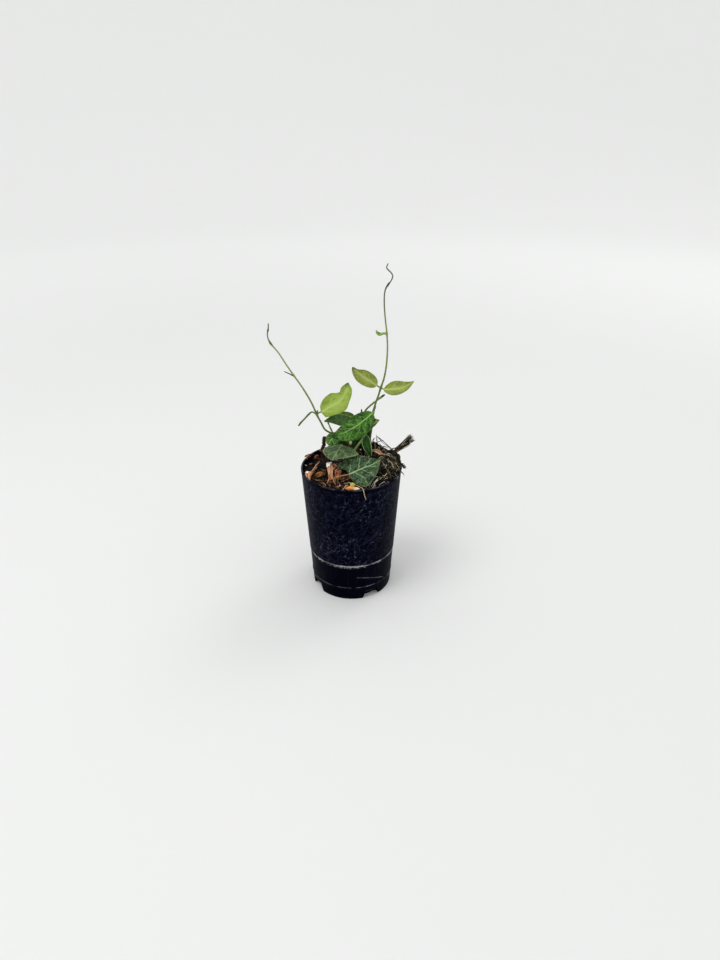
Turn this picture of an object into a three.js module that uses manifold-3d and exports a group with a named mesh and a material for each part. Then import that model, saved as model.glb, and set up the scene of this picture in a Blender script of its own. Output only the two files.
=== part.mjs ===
// A young Dischidia vine standing in the potting mix of its black nursery tube.
// Millimetres, +Z up. The origin is on the pot's axis, on the flat underside it stands on,
// and -Y is the front of the plant.

import * as THREE from 'three';
import { mergeVertices } from 'three/addons/utils/BufferGeometryUtils.js';
import Module from 'manifold-3d';

const wasm = await Module();
wasm.setup();

// ---------------------------------------------------------------- driving dimensions

const GAP = 0.3; // air left between pieces that rest on each other
const SLACK = 0.06; // and a little more, where facets meet curves
const FACETS = 40; // sides of the pot and of the mix in it
const DIVISIONS = 400; // steps in which the length of a curve is measured

const POT = {
  height: 101.7,
  rimRadius: 37.5,
  footRadius: 30.8,
  wall: 1.2,
  floor: 2.0,
  recess: 0.8, // depth of the ring hollow under the floor
  recessInner: 10,
  recessOuter: 26,
  ringHeight: 32.6, // the step in the wall
  ringStep: 0.2,
  footLine: 11.6, // the lower moulding line
  notchWidth: 14.2,
  notchTop: 10.4,
  notchHeight: 7,
  notchTurn: -60, // degrees from the front to the first drain notch
};

const MIX = {
  level: 97.6, // general height of the surface
  leftDrop: 1.2, // how much lower it lies at the left wall
  heap: 5, // extra height of the heap at the right
  heapX: 20,
  heapY: 2,
  heapWidth: 12,
  heapLength: 19,
  rings: 9, // of the relief
  crumbs: 26,
};

const FIBRE = {
  centre: [23, 0],
  reach: [17, 31], // half width and half length of the mound, before the wall cuts it
  wallReach: 35.5, // it ends here, against the wall
  bottom: 97.5,
  top: 108.2,
  strands: 30,
  strandRadius: 0.5,
};

const BLADE = 0.72; // thickness of a leaf
const PETIOLE = 0.55; // radius of a leaf stalk
const OPENING = 0.05; // share of the blade over which the round stalk flattens into it
const PINCH_LENGTH = 0.12; // share of the blade that a notch in its margin takes
const NODE = { swelling: 0.42, reach: 1.7 }; // of a stem's joint: share of its radius, and length

const COLOUR = {
  pot: 0x14141e,
  mix: 0x2a211a,
  fibre: 0x35301f,
  bark: 0x9a5a2e,
  paleBark: 0xd9b48a,
  nodule: 0xb9c04a,
  twig: 0x2f241a,
  root: 0xb9b08a,
  stem: 0x6a8a42,
  lightLeaf: 0xa5be55,
  oliveLeaf: 0x96a046,
  greenLeaf: 0x2d6e20,
  darkLeaf: 0x2a5030,
  greyLeaf: 0x66806a,
};

// ---------------------------------------------------------------- small helpers

const at = (x, y, z) => new THREE.Vector3(x, y, z);
const toPoints = (list) => list.map(([x, y, z]) => at(x, y, z));
const smooth = (a, b, x) => THREE.MathUtils.smoothstep(x, a, b);

// One seeded random stream, so that every build places the same crumbs and strands.
function randomStream(seed) {
  let state = seed;
  return (low = 0, high = 1) => {
    state = (state * 16807) % 2147483647;
    return low + ((high - low) * state) / 2147483647;
  };
}

function signedVolume(positions, index) {
  const a = at(0, 0, 0);
  const b = at(0, 0, 0);
  const c = at(0, 0, 0);
  let volume = 0;
  for (let i = 0; i < index.length; i += 3) {
    a.fromArray(positions, 3 * index[i]);
    b.fromArray(positions, 3 * index[i + 1]);
    c.fromArray(positions, 3 * index[i + 2]);
    volume += a.dot(b.cross(c)) / 6;
  }
  return volume;
}

// A closed skin over rings of equally many points, with a fan over each end.
// The quads after index `mirrorFrom` take the other diagonal, so that the two faces
// of a thin waved blade are split alike.
function loft(rings, mirrorFrom = Infinity) {
  const count = rings[0].length;
  const positions = [];
  const index = [];
  rings.forEach((ring) => ring.forEach((p) => positions.push(p.x, p.y, p.z)));
  for (let i = 0; i + 1 < rings.length; i += 1) {
    for (let j = 0; j < count; j += 1) {
      const a = i * count + j;
      const b = i * count + ((j + 1) % count);
      const c = b + count;
      const d = a + count;
      const quad = j >= mirrorFrom ? [a, b, d, b, c, d] : [a, b, c, a, c, d];
      index.push(...quad);
    }
  }
  [0, rings.length - 1].forEach((end) => {
    const middle = at(0, 0, 0);
    rings[end].forEach((p) => middle.addScaledVector(p, 1 / count));
    const hub = positions.length / 3;
    positions.push(middle.x, middle.y, middle.z);
    for (let j = 0; j < count; j += 1) {
      const a = end * count + j;
      const b = end * count + ((j + 1) % count);
      index.push(...(end === 0 ? [hub, b, a] : [hub, a, b]));
    }
  });
  if (signedVolume(positions, index) < 0) index.reverse();
  const geometry = new THREE.BufferGeometry();
  geometry.setAttribute('position', new THREE.Float32BufferAttribute(positions, 3));
  geometry.setIndex(index);
  return geometry;
}

// Solids for joining and cutting.
function toSolid(geometry) {
  const bare = geometry.clone();
  bare.deleteAttribute('normal');
  bare.deleteAttribute('uv');
  const merged = mergeVertices(bare, 1e-4);
  const vertProperties = new Float32Array(merged.attributes.position.array);
  const triVerts = new Uint32Array(merged.index.array);
  return new wasm.Manifold(new wasm.Mesh({ numProp: 3, vertProperties, triVerts }));
}

function toGeometry(solid) {
  const mesh = solid.getMesh();
  const geometry = new THREE.BufferGeometry();
  geometry.setAttribute('position', new THREE.Float32BufferAttribute(mesh.vertProperties, 3));
  geometry.setIndex([...mesh.triVerts]);
  return geometry;
}

function largestPart(solid) {
  return solid.decompose().reduce((best, part) => (part.volume() > best.volume() ? part : best));
}

const joinAll = (solids) => solids.reduce((sum, solid) => sum.add(solid));
const cutAll = (solid, cutters) => cutters.reduce((rest, cutter) => rest.subtract(cutter), solid);

// ---------------------------------------------------------------- stems

// A ring of `sides` points round `centre`, in the plane across the curve.
function circle(centre, normal, binormal, radius, sides) {
  return Array.from({ length: sides }, (_, k) => {
    const angle = (2 * Math.PI * k) / sides;
    return centre
      .clone()
      .addScaledVector(normal, radius * Math.cos(angle))
      .addScaledVector(binormal, radius * Math.sin(angle));
  });
}

// A stem: a smooth route, a radius at each end, and nodes where it swells.
class Stem {
  constructor({ route, radii, nodes = [], sides = 5, pitch = 3.1 }) {
    this.curve = new THREE.CatmullRomCurve3(toPoints(route), false, 'centripetal');
    this.curve.arcLengthDivisions = DIVISIONS;
    this.length = this.curve.getLength();
    this.radii = radii;
    this.sides = sides;
    this.pitch = pitch;
    this.swellings = nodes.map((p) => this.nearest(at(...p)) * this.length);
  }

  // Share of the stem's length at which it passes closest to a point.
  nearest(point) {
    let best = 0;
    let bestDistance = Infinity;
    for (let k = 0; k <= DIVISIONS; k += 1) {
      const distance = this.curve.getPointAt(k / DIVISIONS).distanceTo(point);
      if (distance < bestDistance) {
        bestDistance = distance;
        best = k / DIVISIONS;
      }
    }
    return best;
  }

  radiusAt(share) {
    const plain = THREE.MathUtils.lerp(this.radii[0], this.radii[1], share ** 0.8);
    const reach = (mark) => (share * this.length - mark) / NODE.reach;
    const swelling = this.swellings.reduce((sum, mark) => sum + Math.exp(-(reach(mark) ** 2)), 0);
    return plain * (1 + NODE.swelling * swelling);
  }

  geometry() {
    const steps = Math.round(this.length / this.pitch);
    const frames = this.curve.computeFrenetFrames(steps, false);
    const rings = Array.from({ length: steps + 1 }, (_, k) => {
      const share = k / steps;
      const centre = this.curve.getPointAt(share);
      return circle(centre, frames.normals[k], frames.binormals[k], this.radiusAt(share), this.sides);
    });
    return loft(rings);
  }

  // The point GAP clear of the stem's side, towards `target`, and the direction out to it.
  side(near, target) {
    const share = this.nearest(near);
    const centre = this.curve.getPointAt(share);
    const along = this.curve.getTangentAt(share);
    const out = target.clone().sub(centre);
    out.addScaledVector(along, -out.dot(along)).normalize();
    const foot = centre.clone().addScaledVector(out, this.radiusAt(share) + GAP + SLACK);
    return { foot, out };
  }
}

// A thin tapered rod through a few points, for buds, strands, roots and sticks.
function rod(route, radii, sides = 5, steps = route.length * 2) {
  const curve = new THREE.CatmullRomCurve3(toPoints(route), false, 'centripetal');
  const frames = curve.computeFrenetFrames(steps, false);
  const rings = Array.from({ length: steps + 1 }, (_, k) => {
    const share = k / steps;
    const place = share * (radii.length - 1);
    const low = Math.min(Math.floor(place), radii.length - 2);
    const radius = THREE.MathUtils.lerp(radii[low], radii[low + 1], place - low);
    return circle(curve.getPointAt(share), frames.normals[k], frames.binormals[k], radius, sides);
  });
  return loft(rings);
}

// ---------------------------------------------------------------- leaves

const LARGE = { across: 6, along: 12 }; // strips across and stations along a blade
const SMALL = { across: 4, along: 8 };

// A leaf is one skin: a round stalk that opens into a thin blade.
//   stalk     points from the foot to the start of the blade
//   midrib    points from there to the tip
//   width     of the blade, at its widest
//   face      where its upper face looks, near the stalk and, as faceTip, near the tip
//   full      how quickly each side widens at the stalk; small is a round or heart-shaped start
//   taper     how each side narrows to the tip; above 1 draws the tip out
//   cup, fold raise of the two sides, as a share of the half width
//   wave      height of the waves of the margin, waves their number
//   lobe      how far each side reaches back past the stalk
//   sides     share of the half width on each side of the midrib
//   corner    how far the first side is drawn out into a corner, and where along the blade
//   pinch     for each side, the share by which it draws in, and where along the blade
function leaf(options) {
  const {
    stalk, midrib, width, face, faceTip = face, full = [0.55, 0.55], taper = [1, 1], cup = 0, fold = 0,
    wave = 0, waves = 1.5, lobe = [0, 0], phase = 0, stalkRadius = PETIOLE, stem = null,
    sides = [1, 1], corner = [0, 0.5], pinch = [[0, 0.7], [0, 0.7]], grid = LARGE,
  } = options;
  const points = [...toPoints(stalk), ...toPoints(midrib)];
  if (stem) {
    const { foot, out } = stem.side(points[0], points[1]);
    points.splice(0, 1, foot, foot.clone().addScaledVector(out, 0.9));
  }
  const bladeIndex = points.length - midrib.length;
  const curve = new THREE.CatmullRomCurve3(points, false, 'centripetal');
  curve.arcLengthDivisions = DIVISIONS;
  const lengths = curve.getLengths();
  const whole = lengths[DIVISIONS];
  const start = lengths[Math.round((bladeIndex / (points.length - 1)) * DIVISIONS)] / whole;
  const stalkSteps = Math.max(3, Math.round((start * whole) / 2.5));
  // Width of one side at a share of the blade, from 0 to 1 at its widest.
  const outline = (side, q) => {
    const [widen, narrow] = [full[side], taper[side]];
    const crest = widen / (widen + narrow);
    return (q ** widen * (1 - q) ** narrow) / (crest ** widen * (1 - crest) ** narrow);
  };
  const rings = [];

  const frameAt = (share, q) => {
    const tangent = curve.getTangentAt(share);
    const look = at(...face).lerp(at(...faceTip), q);
    const normal = look.addScaledVector(tangent, -look.dot(tangent)).normalize();
    return { tangent, normal, side: tangent.clone().cross(normal) };
  };

  const ring = (share, q) => {
    const { tangent, normal, side } = frameAt(share, q);
    const centre = curve.getPointAt(share);
    const wedge = Math.min(q / corner[1], (1 - q) / (1 - corner[1]));
    const shares = [THREE.MathUtils.lerp(outline(0, q), wedge, corner[0]), outline(1, q)];
    const reaches = shares.map((size) => Math.max(0.5 * width * size, stalkRadius));
    const opening = smooth(0, OPENING, q);
    const total = 2 * (grid.across + 1);
    const drawn = pinch.map(([depth, where]) => 1 - depth * Math.exp(-(((q - where) / PINCH_LENGTH) ** 2)));
    return Array.from({ length: total }, (_, k) => {
      const upper = k <= grid.across;
      const step = upper ? k : 2 * grid.across + 1 - k;
      const v = -1 + (2 * step) / grid.across;
      const half = v < 0 ? 0 : 1;
      const reach = reaches[half] * v * sides[half] * drawn[half];
      const angle = Math.PI * (1 - (2 * k + 1) / total);
      const round = centre
        .clone()
        .addScaledVector(side, stalkRadius * Math.cos(angle))
        .addScaledVector(normal, stalkRadius * Math.sin(angle));
      const ripple = wave * Math.sin(2 * Math.PI * waves * q + phase + v) * v * v;
      const lift = reaches[1] * (cup * v * v + fold * Math.abs(v)) + ripple * Math.sin(Math.PI * q);
      const back = -lobe[half] * Math.abs(v) ** 1.5 * (1 - q) ** 3 * smooth(0, 0.1, q);
      const flat = centre
        .clone()
        .addScaledVector(side, reach)
        .addScaledVector(normal, lift + (upper ? 0.5 : -0.5) * BLADE)
        .addScaledVector(tangent, back);
      return round.lerp(flat, opening);
    });
  };

  for (let k = 0; k < stalkSteps; k += 1) rings.push(ring((start * k) / stalkSteps, 0));
  for (let k = 0; k <= grid.along; k += 1) {
    const q = (k / grid.along) ** 1.5;
    rings.push(ring(start + (1 - start) * q * 0.9999, Math.min(q, 0.995)));
  }
  return loft(rings, grid.across + 1);
}

// ---------------------------------------------------------------- the pot

function wallRadius(z) {
  const { height, rimRadius, footRadius, ringHeight, ringStep } = POT;
  const straight = THREE.MathUtils.lerp(footRadius + ringStep, rimRadius, z / height);
  return z < ringHeight ? straight - ringStep : straight;
}

function innerRadius(z) {
  const { height, rimRadius, footRadius, wall } = POT;
  return THREE.MathUtils.lerp(footRadius, rimRadius, z / height) - wall;
}

// The pot's section, from the axis out under the floor, up the wall and back down inside.
function potSection(grow = 0) {
  const { height, floor, recess, recessInner, recessOuter, ringHeight, footLine } = POT;
  const outline = [
    [0, 0],
    [recessInner, 0],
    [recessInner + 1, recess],
    [recessOuter - 1, recess],
    [recessOuter, 0],
    [wallRadius(0) - 0.5, 0],
    [wallRadius(0), 0.6],
    [wallRadius(footLine) - 0.05, footLine - 0.6],
    [wallRadius(footLine) + 0.22, footLine],
    [wallRadius(footLine) - 0.05, footLine + 0.6],
    [wallRadius(ringHeight - 1) - 0.03, ringHeight - 0.5],
    [wallRadius(ringHeight + 1), ringHeight],
    [wallRadius(height) + grow, height - 0.5],
    [wallRadius(height) - 0.35 + grow, height + grow],
    [innerRadius(height) + 0.25 - grow, height + grow],
    [innerRadius(height) - grow, height - 0.4],
    [innerRadius(floor) - grow, floor + 0.8],
    [innerRadius(floor) - 0.9 - grow, floor],
    [0, floor],
  ];
  return outline.map(([r, z]) => new THREE.Vector2(r, z));
}

// LatheGeometry turns round Y, so the turned body is tipped up onto Z.
const turned = (section) => new THREE.LatheGeometry(section, FACETS).rotateX(Math.PI / 2);

function drainNotch(turn) {
  const { notchWidth, notchTop, notchHeight, recessOuter } = POT;
  const shape = new THREE.Shape();
  shape.moveTo(-notchWidth / 2, -1);
  shape.lineTo(notchWidth / 2, -1);
  shape.lineTo(notchTop / 2, notchHeight);
  shape.lineTo(-notchTop / 2, notchHeight);
  shape.closePath();
  const depth = 8;
  const cutter = new THREE.ExtrudeGeometry(shape, { depth, bevelEnabled: false });
  cutter.rotateX(Math.PI / 2);
  cutter.translate(0, -recessOuter, 0);
  cutter.rotateZ(THREE.MathUtils.degToRad(turn));
  return cutter;
}

function buildPot() {
  const notches = [0, 90, 180, 270].map((step) => toSolid(drainNotch(POT.notchTurn + step)));
  return cutAll(toSolid(turned(potSection())), notches);
}

// ---------------------------------------------------------------- the mix

function mixHeight(x, y) {
  const { level, leftDrop, heap, heapX, heapY, heapWidth, heapLength } = MIX;
  const across = ((x - heapX) / heapWidth) ** 2 + ((y - heapY) / heapLength) ** 2;
  const lumps = 0.8 * Math.sin(0.43 * x + 1.7 * Math.sin(0.27 * y)) * Math.cos(0.38 * y + 0.6);
  return level + (leftDrop * x) / POT.rimRadius + heap * Math.exp(-across) + lumps;
}

// The body of the mix: rings of the relief on top, straight down to the pot's floor.
// A raised copy with one ring more, `spread` further out, clears what lies on the mix.
function mixBody(raise = 0, spread = 0) {
  const clear = GAP + SLACK;
  const topRadius = innerRadius(MIX.level - 2) - clear;
  const radii = Array.from({ length: MIX.rings }, (_, r) => (topRadius * (r + 1)) / MIX.rings);
  if (spread > 0) radii.push(topRadius + spread);
  const positions = [0, 0, mixHeight(0, 0) + raise];
  const index = [];
  const ringPoint = (radius, k, z) => {
    const angle = (2 * Math.PI * k) / FACETS;
    const x = radius * Math.sin(angle);
    const y = radius * Math.cos(angle);
    positions.push(x, y, z ?? mixHeight(x, y) + raise);
  };
  radii.forEach((radius) => {
    for (let k = 0; k < FACETS; k += 1) ringPoint(radius, k);
  });
  const low = POT.floor + GAP;
  for (let k = 0; k < FACETS; k += 1) ringPoint(innerRadius(low) - clear, k, low + 2);
  for (let k = 0; k < FACETS; k += 1) ringPoint(innerRadius(low) - clear - 2, k, low);
  positions.push(0, 0, low);
  for (let k = 0; k < FACETS; k += 1) {
    const next = (k + 1) % FACETS;
    index.push(0, 1 + next, 1 + k);
    for (let r = 0; r <= radii.length; r += 1) {
      const a = 1 + r * FACETS + k;
      const b = 1 + r * FACETS + next;
      index.push(a, b, b + FACETS, a, b + FACETS, a + FACETS);
    }
    const last = 1 + (radii.length + 1) * FACETS;
    index.push(last + k, last + next, last + FACETS);
  }
  if (signedVolume(positions, index) < 0) index.reverse();
  const geometry = new THREE.BufferGeometry();
  geometry.setAttribute('position', new THREE.Float32BufferAttribute(positions, 3));
  geometry.setIndex(index);
  return geometry;
}

// A broken crumb: an octahedron of uneven size, `grow` larger where it clears a neighbour.
function crumb(x, y, z, grow, random) {
  const geometry = new THREE.OctahedronGeometry(1, 0);
  const size = random(1.1, 2);
  const [long, wide, thick] = [random(0.8, 1.4), random(0.7, 1.1), random(0.6, 0.9)];
  geometry.scale(size * long + grow, size * wide + grow, size * thick + grow);
  geometry.rotateX(random(0, 3));
  geometry.rotateZ(random(0, 3));
  geometry.translate(x, y, z);
  return geometry;
}

// A straight socket in the mix for a stem or a stalk that stands in it.
function socket([x, y, z], radius) {
  const height = 30;
  const clear = radius + GAP + 0.15;
  const hole = new THREE.CylinderGeometry(clear, clear, height, 8);
  hole.rotateX(Math.PI / 2);
  hole.translate(x, y, z - GAP + height / 2);
  return toSolid(hole);
}

// The crumbs lie where the mound leaves the mix bare.
function crumbs(grow = 0) {
  const random = randomStream(41);
  const bareEdge = FIBRE.centre[0] - FIBRE.reach[0] - 2;
  return Array.from({ length: MIX.crumbs }, () => {
    const x = random(-30, bareEdge);
    const y = random(-1, 1) * Math.sqrt(31 ** 2 - x * x);
    return toSolid(crumb(x, y, mixHeight(x, y) - 0.1, grow, random));
  });
}

function buildMix(sockets) {
  return cutAll(joinAll([toSolid(mixBody()), ...crumbs()]), sockets);
}

// ---------------------------------------------------------------- the fibre mound

// How far the mound reaches from its centre in a direction: an oval, cut off by the wall.
function fibreReach(angle) {
  const [cx, cy] = FIBRE.centre;
  const [rx, ry] = FIBRE.reach;
  const [ux, uy] = [Math.cos(angle), Math.sin(angle)];
  const oval = 1 / Math.hypot(ux / rx, uy / ry);
  const along = cx * ux + cy * uy;
  const wall = Math.sqrt(along ** 2 + FIBRE.wallReach ** 2 - cx ** 2 - cy ** 2) - along;
  return Math.min(oval, wall);
}

function fibreTop(x, y) {
  const [cx, cy] = FIBRE.centre;
  const share = Math.hypot(x - cx, y - cy) / fibreReach(Math.atan2(y - cy, x - cx));
  if (share > 1) return mixHeight(x, y) + 0.5;
  const edge = 101.2;
  const lump = 0.8 * Math.sin(0.7 * x + 1) * Math.cos(0.6 * y);
  return edge + (FIBRE.top - edge) * (1 - share * share) ** 0.7 + lump * (1 - share);
}

// The lumpy smaller core that the strands stand out of.
function fibreCore() {
  const [cx, cy] = FIBRE.centre;
  const around = 26;
  const levels = [1, 0.86, 0.66, 0.42, 0.2];
  const ring = (share, height) => Array.from({ length: around }, (_, k) => {
    const angle = (2 * Math.PI * k) / around;
    const reach = fibreReach(angle) * share;
    const x = cx + reach * Math.cos(angle);
    const y = cy + reach * Math.sin(angle);
    return at(x, y, height ?? fibreTop(x, y));
  });
  return loft([ring(0.9, FIBRE.bottom), ...levels.map((share) => ring(share * 0.999))]);
}

// A strand that runs over the mound, with both ends sunk in.
function fibreStrand(random) {
  const [cx, cy] = FIBRE.centre;
  const angle = random(0, 2 * Math.PI);
  const start = fibreReach(angle) * Math.sqrt(random(0.02, 0.85));
  const x0 = cx + start * Math.cos(angle);
  const y0 = cy + start * Math.sin(angle);
  const heading = random(0, 2 * Math.PI);
  const length = random(9, 18);
  const bend = random(-0.8, 0.8);
  const route = Array.from({ length: 4 }, (_, k) => {
    const turn = heading + (bend * k) / 3;
    const x = x0 + ((length * k) / 3) * Math.cos(turn);
    const y = y0 + ((length * k) / 3) * Math.sin(turn);
    const inside = Math.min(1, 37.6 / Math.hypot(x, y));
    const lift = k === 0 || k === 3 ? -0.8 : random(0.3, 1.6);
    return [x * inside, y * inside, fibreTop(x * inside, y * inside) + lift];
  });
  return rod(route, [FIBRE.strandRadius, FIBRE.strandRadius], 3, 4);
}

// The stiff tuft at the back right and the ends that hang out over the rim.
const TUFT = [
  [[30, 11, 104], [35.5, 14.2, 109], [41, 15.6, 114.6], [45, 16, 119.4]],
  [[30, 11, 104], [35.3, 13.8, 108.6], [41, 14.6, 113.6], [46.6, 14.6, 118.6]],
  [[30, 11, 104], [35.6, 13.4, 108.4], [41.2, 13.4, 112.8], [47.6, 13.4, 117]],
  [[30, 11, 104], [35.2, 14, 109], [40.4, 14.2, 114.6], [43.8, 13.8, 120]],
  [[30, 11, 104], [35.4, 14.6, 108.8], [40.6, 16.4, 113.2], [45.4, 17.6, 117.6]],
];
const RIM_ENDS = [
  [[30, 10, 104], [36, 12, 107.2], [40.6, 11.6, 109.6], [43.4, 11.2, 111]],
  [[29, -3, 104], [35, -4.5, 105.8], [38.4, -5, 104.4], [40.2, -6.4, 103.4]],
  [[28, -9, 103], [34, -12, 104.6], [37.6, -13, 103.4], [39.4, -13.4, 100.4]],
  [[26, -16, 102], [30.5, -21, 103.8], [33, -23.5, 103.2], [34.2, -24.6, 102.6]],
  [[20, -18, 101], [24, -25, 103.6], [26, -28, 103.2], [27.2, -29.8, 102.8]],
  [[22, 14, 105], [21, 17, 109.4], [20.4, 19, 112.6], [21.4, 20.4, 115.4]],
  [[20, 14, 105], [24, 17, 109.8], [28, 15.6, 110], [31.6, 12, 107.2]],
];
// A lump of the mound that leans out over the rim.
const RIM_LUMP = [[33, -2.6, 103.6], [37, -3.6, 104.4], [40.2, -4.4, 102.4]];

function buildFibre(obstacles) {
  const random = randomStream(77);
  const strands = Array.from({ length: FIBRE.strands }, () => toSolid(fibreStrand(random)));
  const tuft = TUFT.map((route) => toSolid(rod(route, [1, 0.9, 0.75, 0.45], 4, 4)));
  const ends = RIM_ENDS.map((route) => toSolid(rod(route, [0.7, 0.6, 0.5, 0.4], 3, 4)));
  const lump = toSolid(rod(RIM_LUMP, [1.6, 2.1, 1.2], 6, 3));
  const whole = joinAll([toSolid(fibreCore()), ...strands, ...tuft, ...ends, lump]);
  return largestPart(cutAll(whole, obstacles));
}

// ---------------------------------------------------------------- bark and other litter

// A splinter of bark: an uneven section drawn along a short bent line.
function splinter({ route, radii, flat = 0.6, turn = 0, seed = 1, sides = 6 }) {
  const random = randomStream(seed * 977 + 13);
  const curve = new THREE.CatmullRomCurve3(toPoints(route), false, 'centripetal');
  const steps = radii.length - 1;
  const frames = curve.computeFrenetFrames(steps, false);
  const uneven = Array.from({ length: sides }, () => random(0.78, 1.12));
  const rings = radii.map((radius, i) => {
    const centre = curve.getPointAt(i / steps);
    return uneven.map((share, k) => {
      const angle = (2 * Math.PI * k) / sides + turn;
      const wide = radius * share * random(0.9, 1.1);
      return centre
        .clone()
        .addScaledVector(frames.normals[i], wide * Math.cos(angle))
        .addScaledVector(frames.binormals[i], wide * flat * Math.sin(angle));
    });
  });
  return loft(rings);
}

const LITTER = [
  {
    name: 'bark_long_stick', colour: 'bark', flat: 0.7, seed: 1,
    route: [[-24.4, 15, 98], [-26.6, 4.6, 98.6], [-28.4, -5, 99.6]],
    radii: [0.7, 0.9, 1, 1],
  },
  {
    name: 'bark_split_end', colour: 'bark', flat: 0.8, seed: 2,
    route: [[-29.2, -10.2, 100.8], [-30.4, -14, 101.4], [-31, -17, 100.4], [-29.6, -20, 98.8]],
    radii: [1.2, 2, 2.2, 1.6, 0.8],
  },
  {
    name: 'bark_brown_lump', colour: 'bark', flat: 0.75, seed: 3,
    route: [[-27, -9.6, 98.6], [-23, -9.8, 100], [-18.6, -7.2, 100.6]],
    radii: [1.3, 2.2, 1.9, 2.4, 1.2],
  },
  {
    name: 'bark_white_bulb', colour: 'bark', flat: 0.85, seed: 4,
    route: [[-15.4, -17.4, 97.4], [-15.2, -12.4, 101], [-15.6, -7.6, 104], [-16.4, -4.8, 105.6]],
    radii: [0.8, 1.2, 1.9, 1.6, 2.3, 2.2, 1.2],
  },
  {
    name: 'bark_bulb_leg', colour: 'bark', flat: 0.9, seed: 5,
    route: [[-11, -20.4, 97.8], [-12, -16.4, 100.2], [-13, -13.4, 101]],
    radii: [0.6, 0.8, 0.7],
  },
  {
    name: 'bark_red_round', colour: 'bark', flat: 0.95, seed: 6,
    route: [[-10.4, -12, 97], [-9.6, -10.4, 100.8], [-8.8, -9, 104]],
    radii: [1.2, 1.9, 2.6, 2.5, 1.4],
  },
  {
    name: 'bark_orange_bit', colour: 'bark', flat: 0.8, seed: 7,
    route: [[-12, -14.4, 98.6], [-9.8, -15.2, 100.4], [-7.4, -15.4, 100.2]],
    radii: [1.1, 1.5, 1.6, 1.1],
  },
  {
    name: 'bark_bit_left', colour: 'bark', flat: 0.6, seed: 8,
    route: [[-21.6, -20.4, 97.6], [-19.4, -23, 98.8], [-18, -26.4, 98.4]],
    radii: [1.2, 1.5, 1.8, 1.2],
  },
  {
    name: 'bark_bit_middle', colour: 'bark', flat: 0.7, seed: 9,
    route: [[-16.4, -22.6, 98.4], [-15, -26, 99.6], [-14.6, -29.6, 99.4]],
    radii: [0.9, 1.1, 1.5, 1.3],
  },
  {
    name: 'bark_bit_right', colour: 'bark', flat: 0.7, seed: 10,
    route: [[-12, -25.6, 98.2], [-10, -28.4, 99.4], [-8, -31, 99]],
    radii: [1, 1.3, 1.5, 1.1],
  },
  {
    name: 'bark_pale_stick', colour: 'paleBark', flat: 0.8, seed: 11,
    route: [[-6.6, -32.2, 98.6], [-4.4, -30.6, 100.6], [-2.4, -28.6, 102.2]],
    radii: [0.5, 0.7, 0.6],
  },
  {
    name: 'bark_rim_chip', colour: 'paleBark', flat: 0.42, seed: 12,
    route: [[-3.6, -35.4, 102.9], [1.2, -36.2, 103.1], [6, -35.6, 102.7]],
    radii: [1.2, 1.9, 1.7, 1.5, 1],
  },
  {
    name: 'yellow_nodule', colour: 'nodule', flat: 0.9, seed: 13,
    route: [[0.6, -31, 98.4], [1, -30.8, 101.4], [0.8, -30.2, 104.2]],
    radii: [1.3, 1.9, 2.2, 1.4],
  },
  {
    name: 'bark_flat_left', colour: 'bark', flat: 0.4, seed: 14,
    route: [[-33.6, 9, 98.6], [-33, 13.4, 99.8], [-30.4, 17.6, 99.6]],
    radii: [1.2, 1.9, 1.6, 2, 1.4],
  },
  {
    name: 'bark_flat_back', colour: 'bark', flat: 0.4, seed: 15,
    route: [[-29, 18.8, 97.6], [-27, 21, 98.9], [-25.6, 20.8, 98.4]],
    radii: [1, 1.5, 1],
  },
  {
    name: 'bark_back_chunk', colour: 'bark', flat: 0.6, seed: 16,
    route: [[-9, 27, 97.4], [-4, 29.4, 99], [2, 29, 98.4]],
    radii: [1.2, 2.4, 2.2, 1],
  },
  {
    name: 'bark_tan_chip', colour: 'paleBark', flat: 0.5, seed: 18, onMound: true,
    route: [[16.6, 8.4, 110.4], [20, 5.4, 110.8], [23.4, 2.2, 110.2]],
    radii: [1, 2, 1.9, 1.2],
  },
  {
    name: 'bark_back_stick', colour: 'bark', flat: 0.7, seed: 17,
    route: [[-16, 21, 97.4], [-11, 22.6, 99], [-6.6, 21, 98.8]],
    radii: [0.8, 1.2, 1.1, 0.7],
  },
];

function buildLitter(piece, obstacles) {
  return largestPart(cutAll(toSolid(splinter(piece)), obstacles));
}

// The bed that a chip lying on the mound needs in it.
function chipBed(piece) {
  const middle = at(...piece.route[1]);
  const geometry = splinter(piece);
  geometry.translate(-middle.x, -middle.y, -middle.z);
  geometry.scale(1.4, 1.4, 1.4);
  geometry.translate(middle.x, middle.y, middle.z);
  return toSolid(geometry);
}

// ---------------------------------------------------------------- stems of this plant

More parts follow.
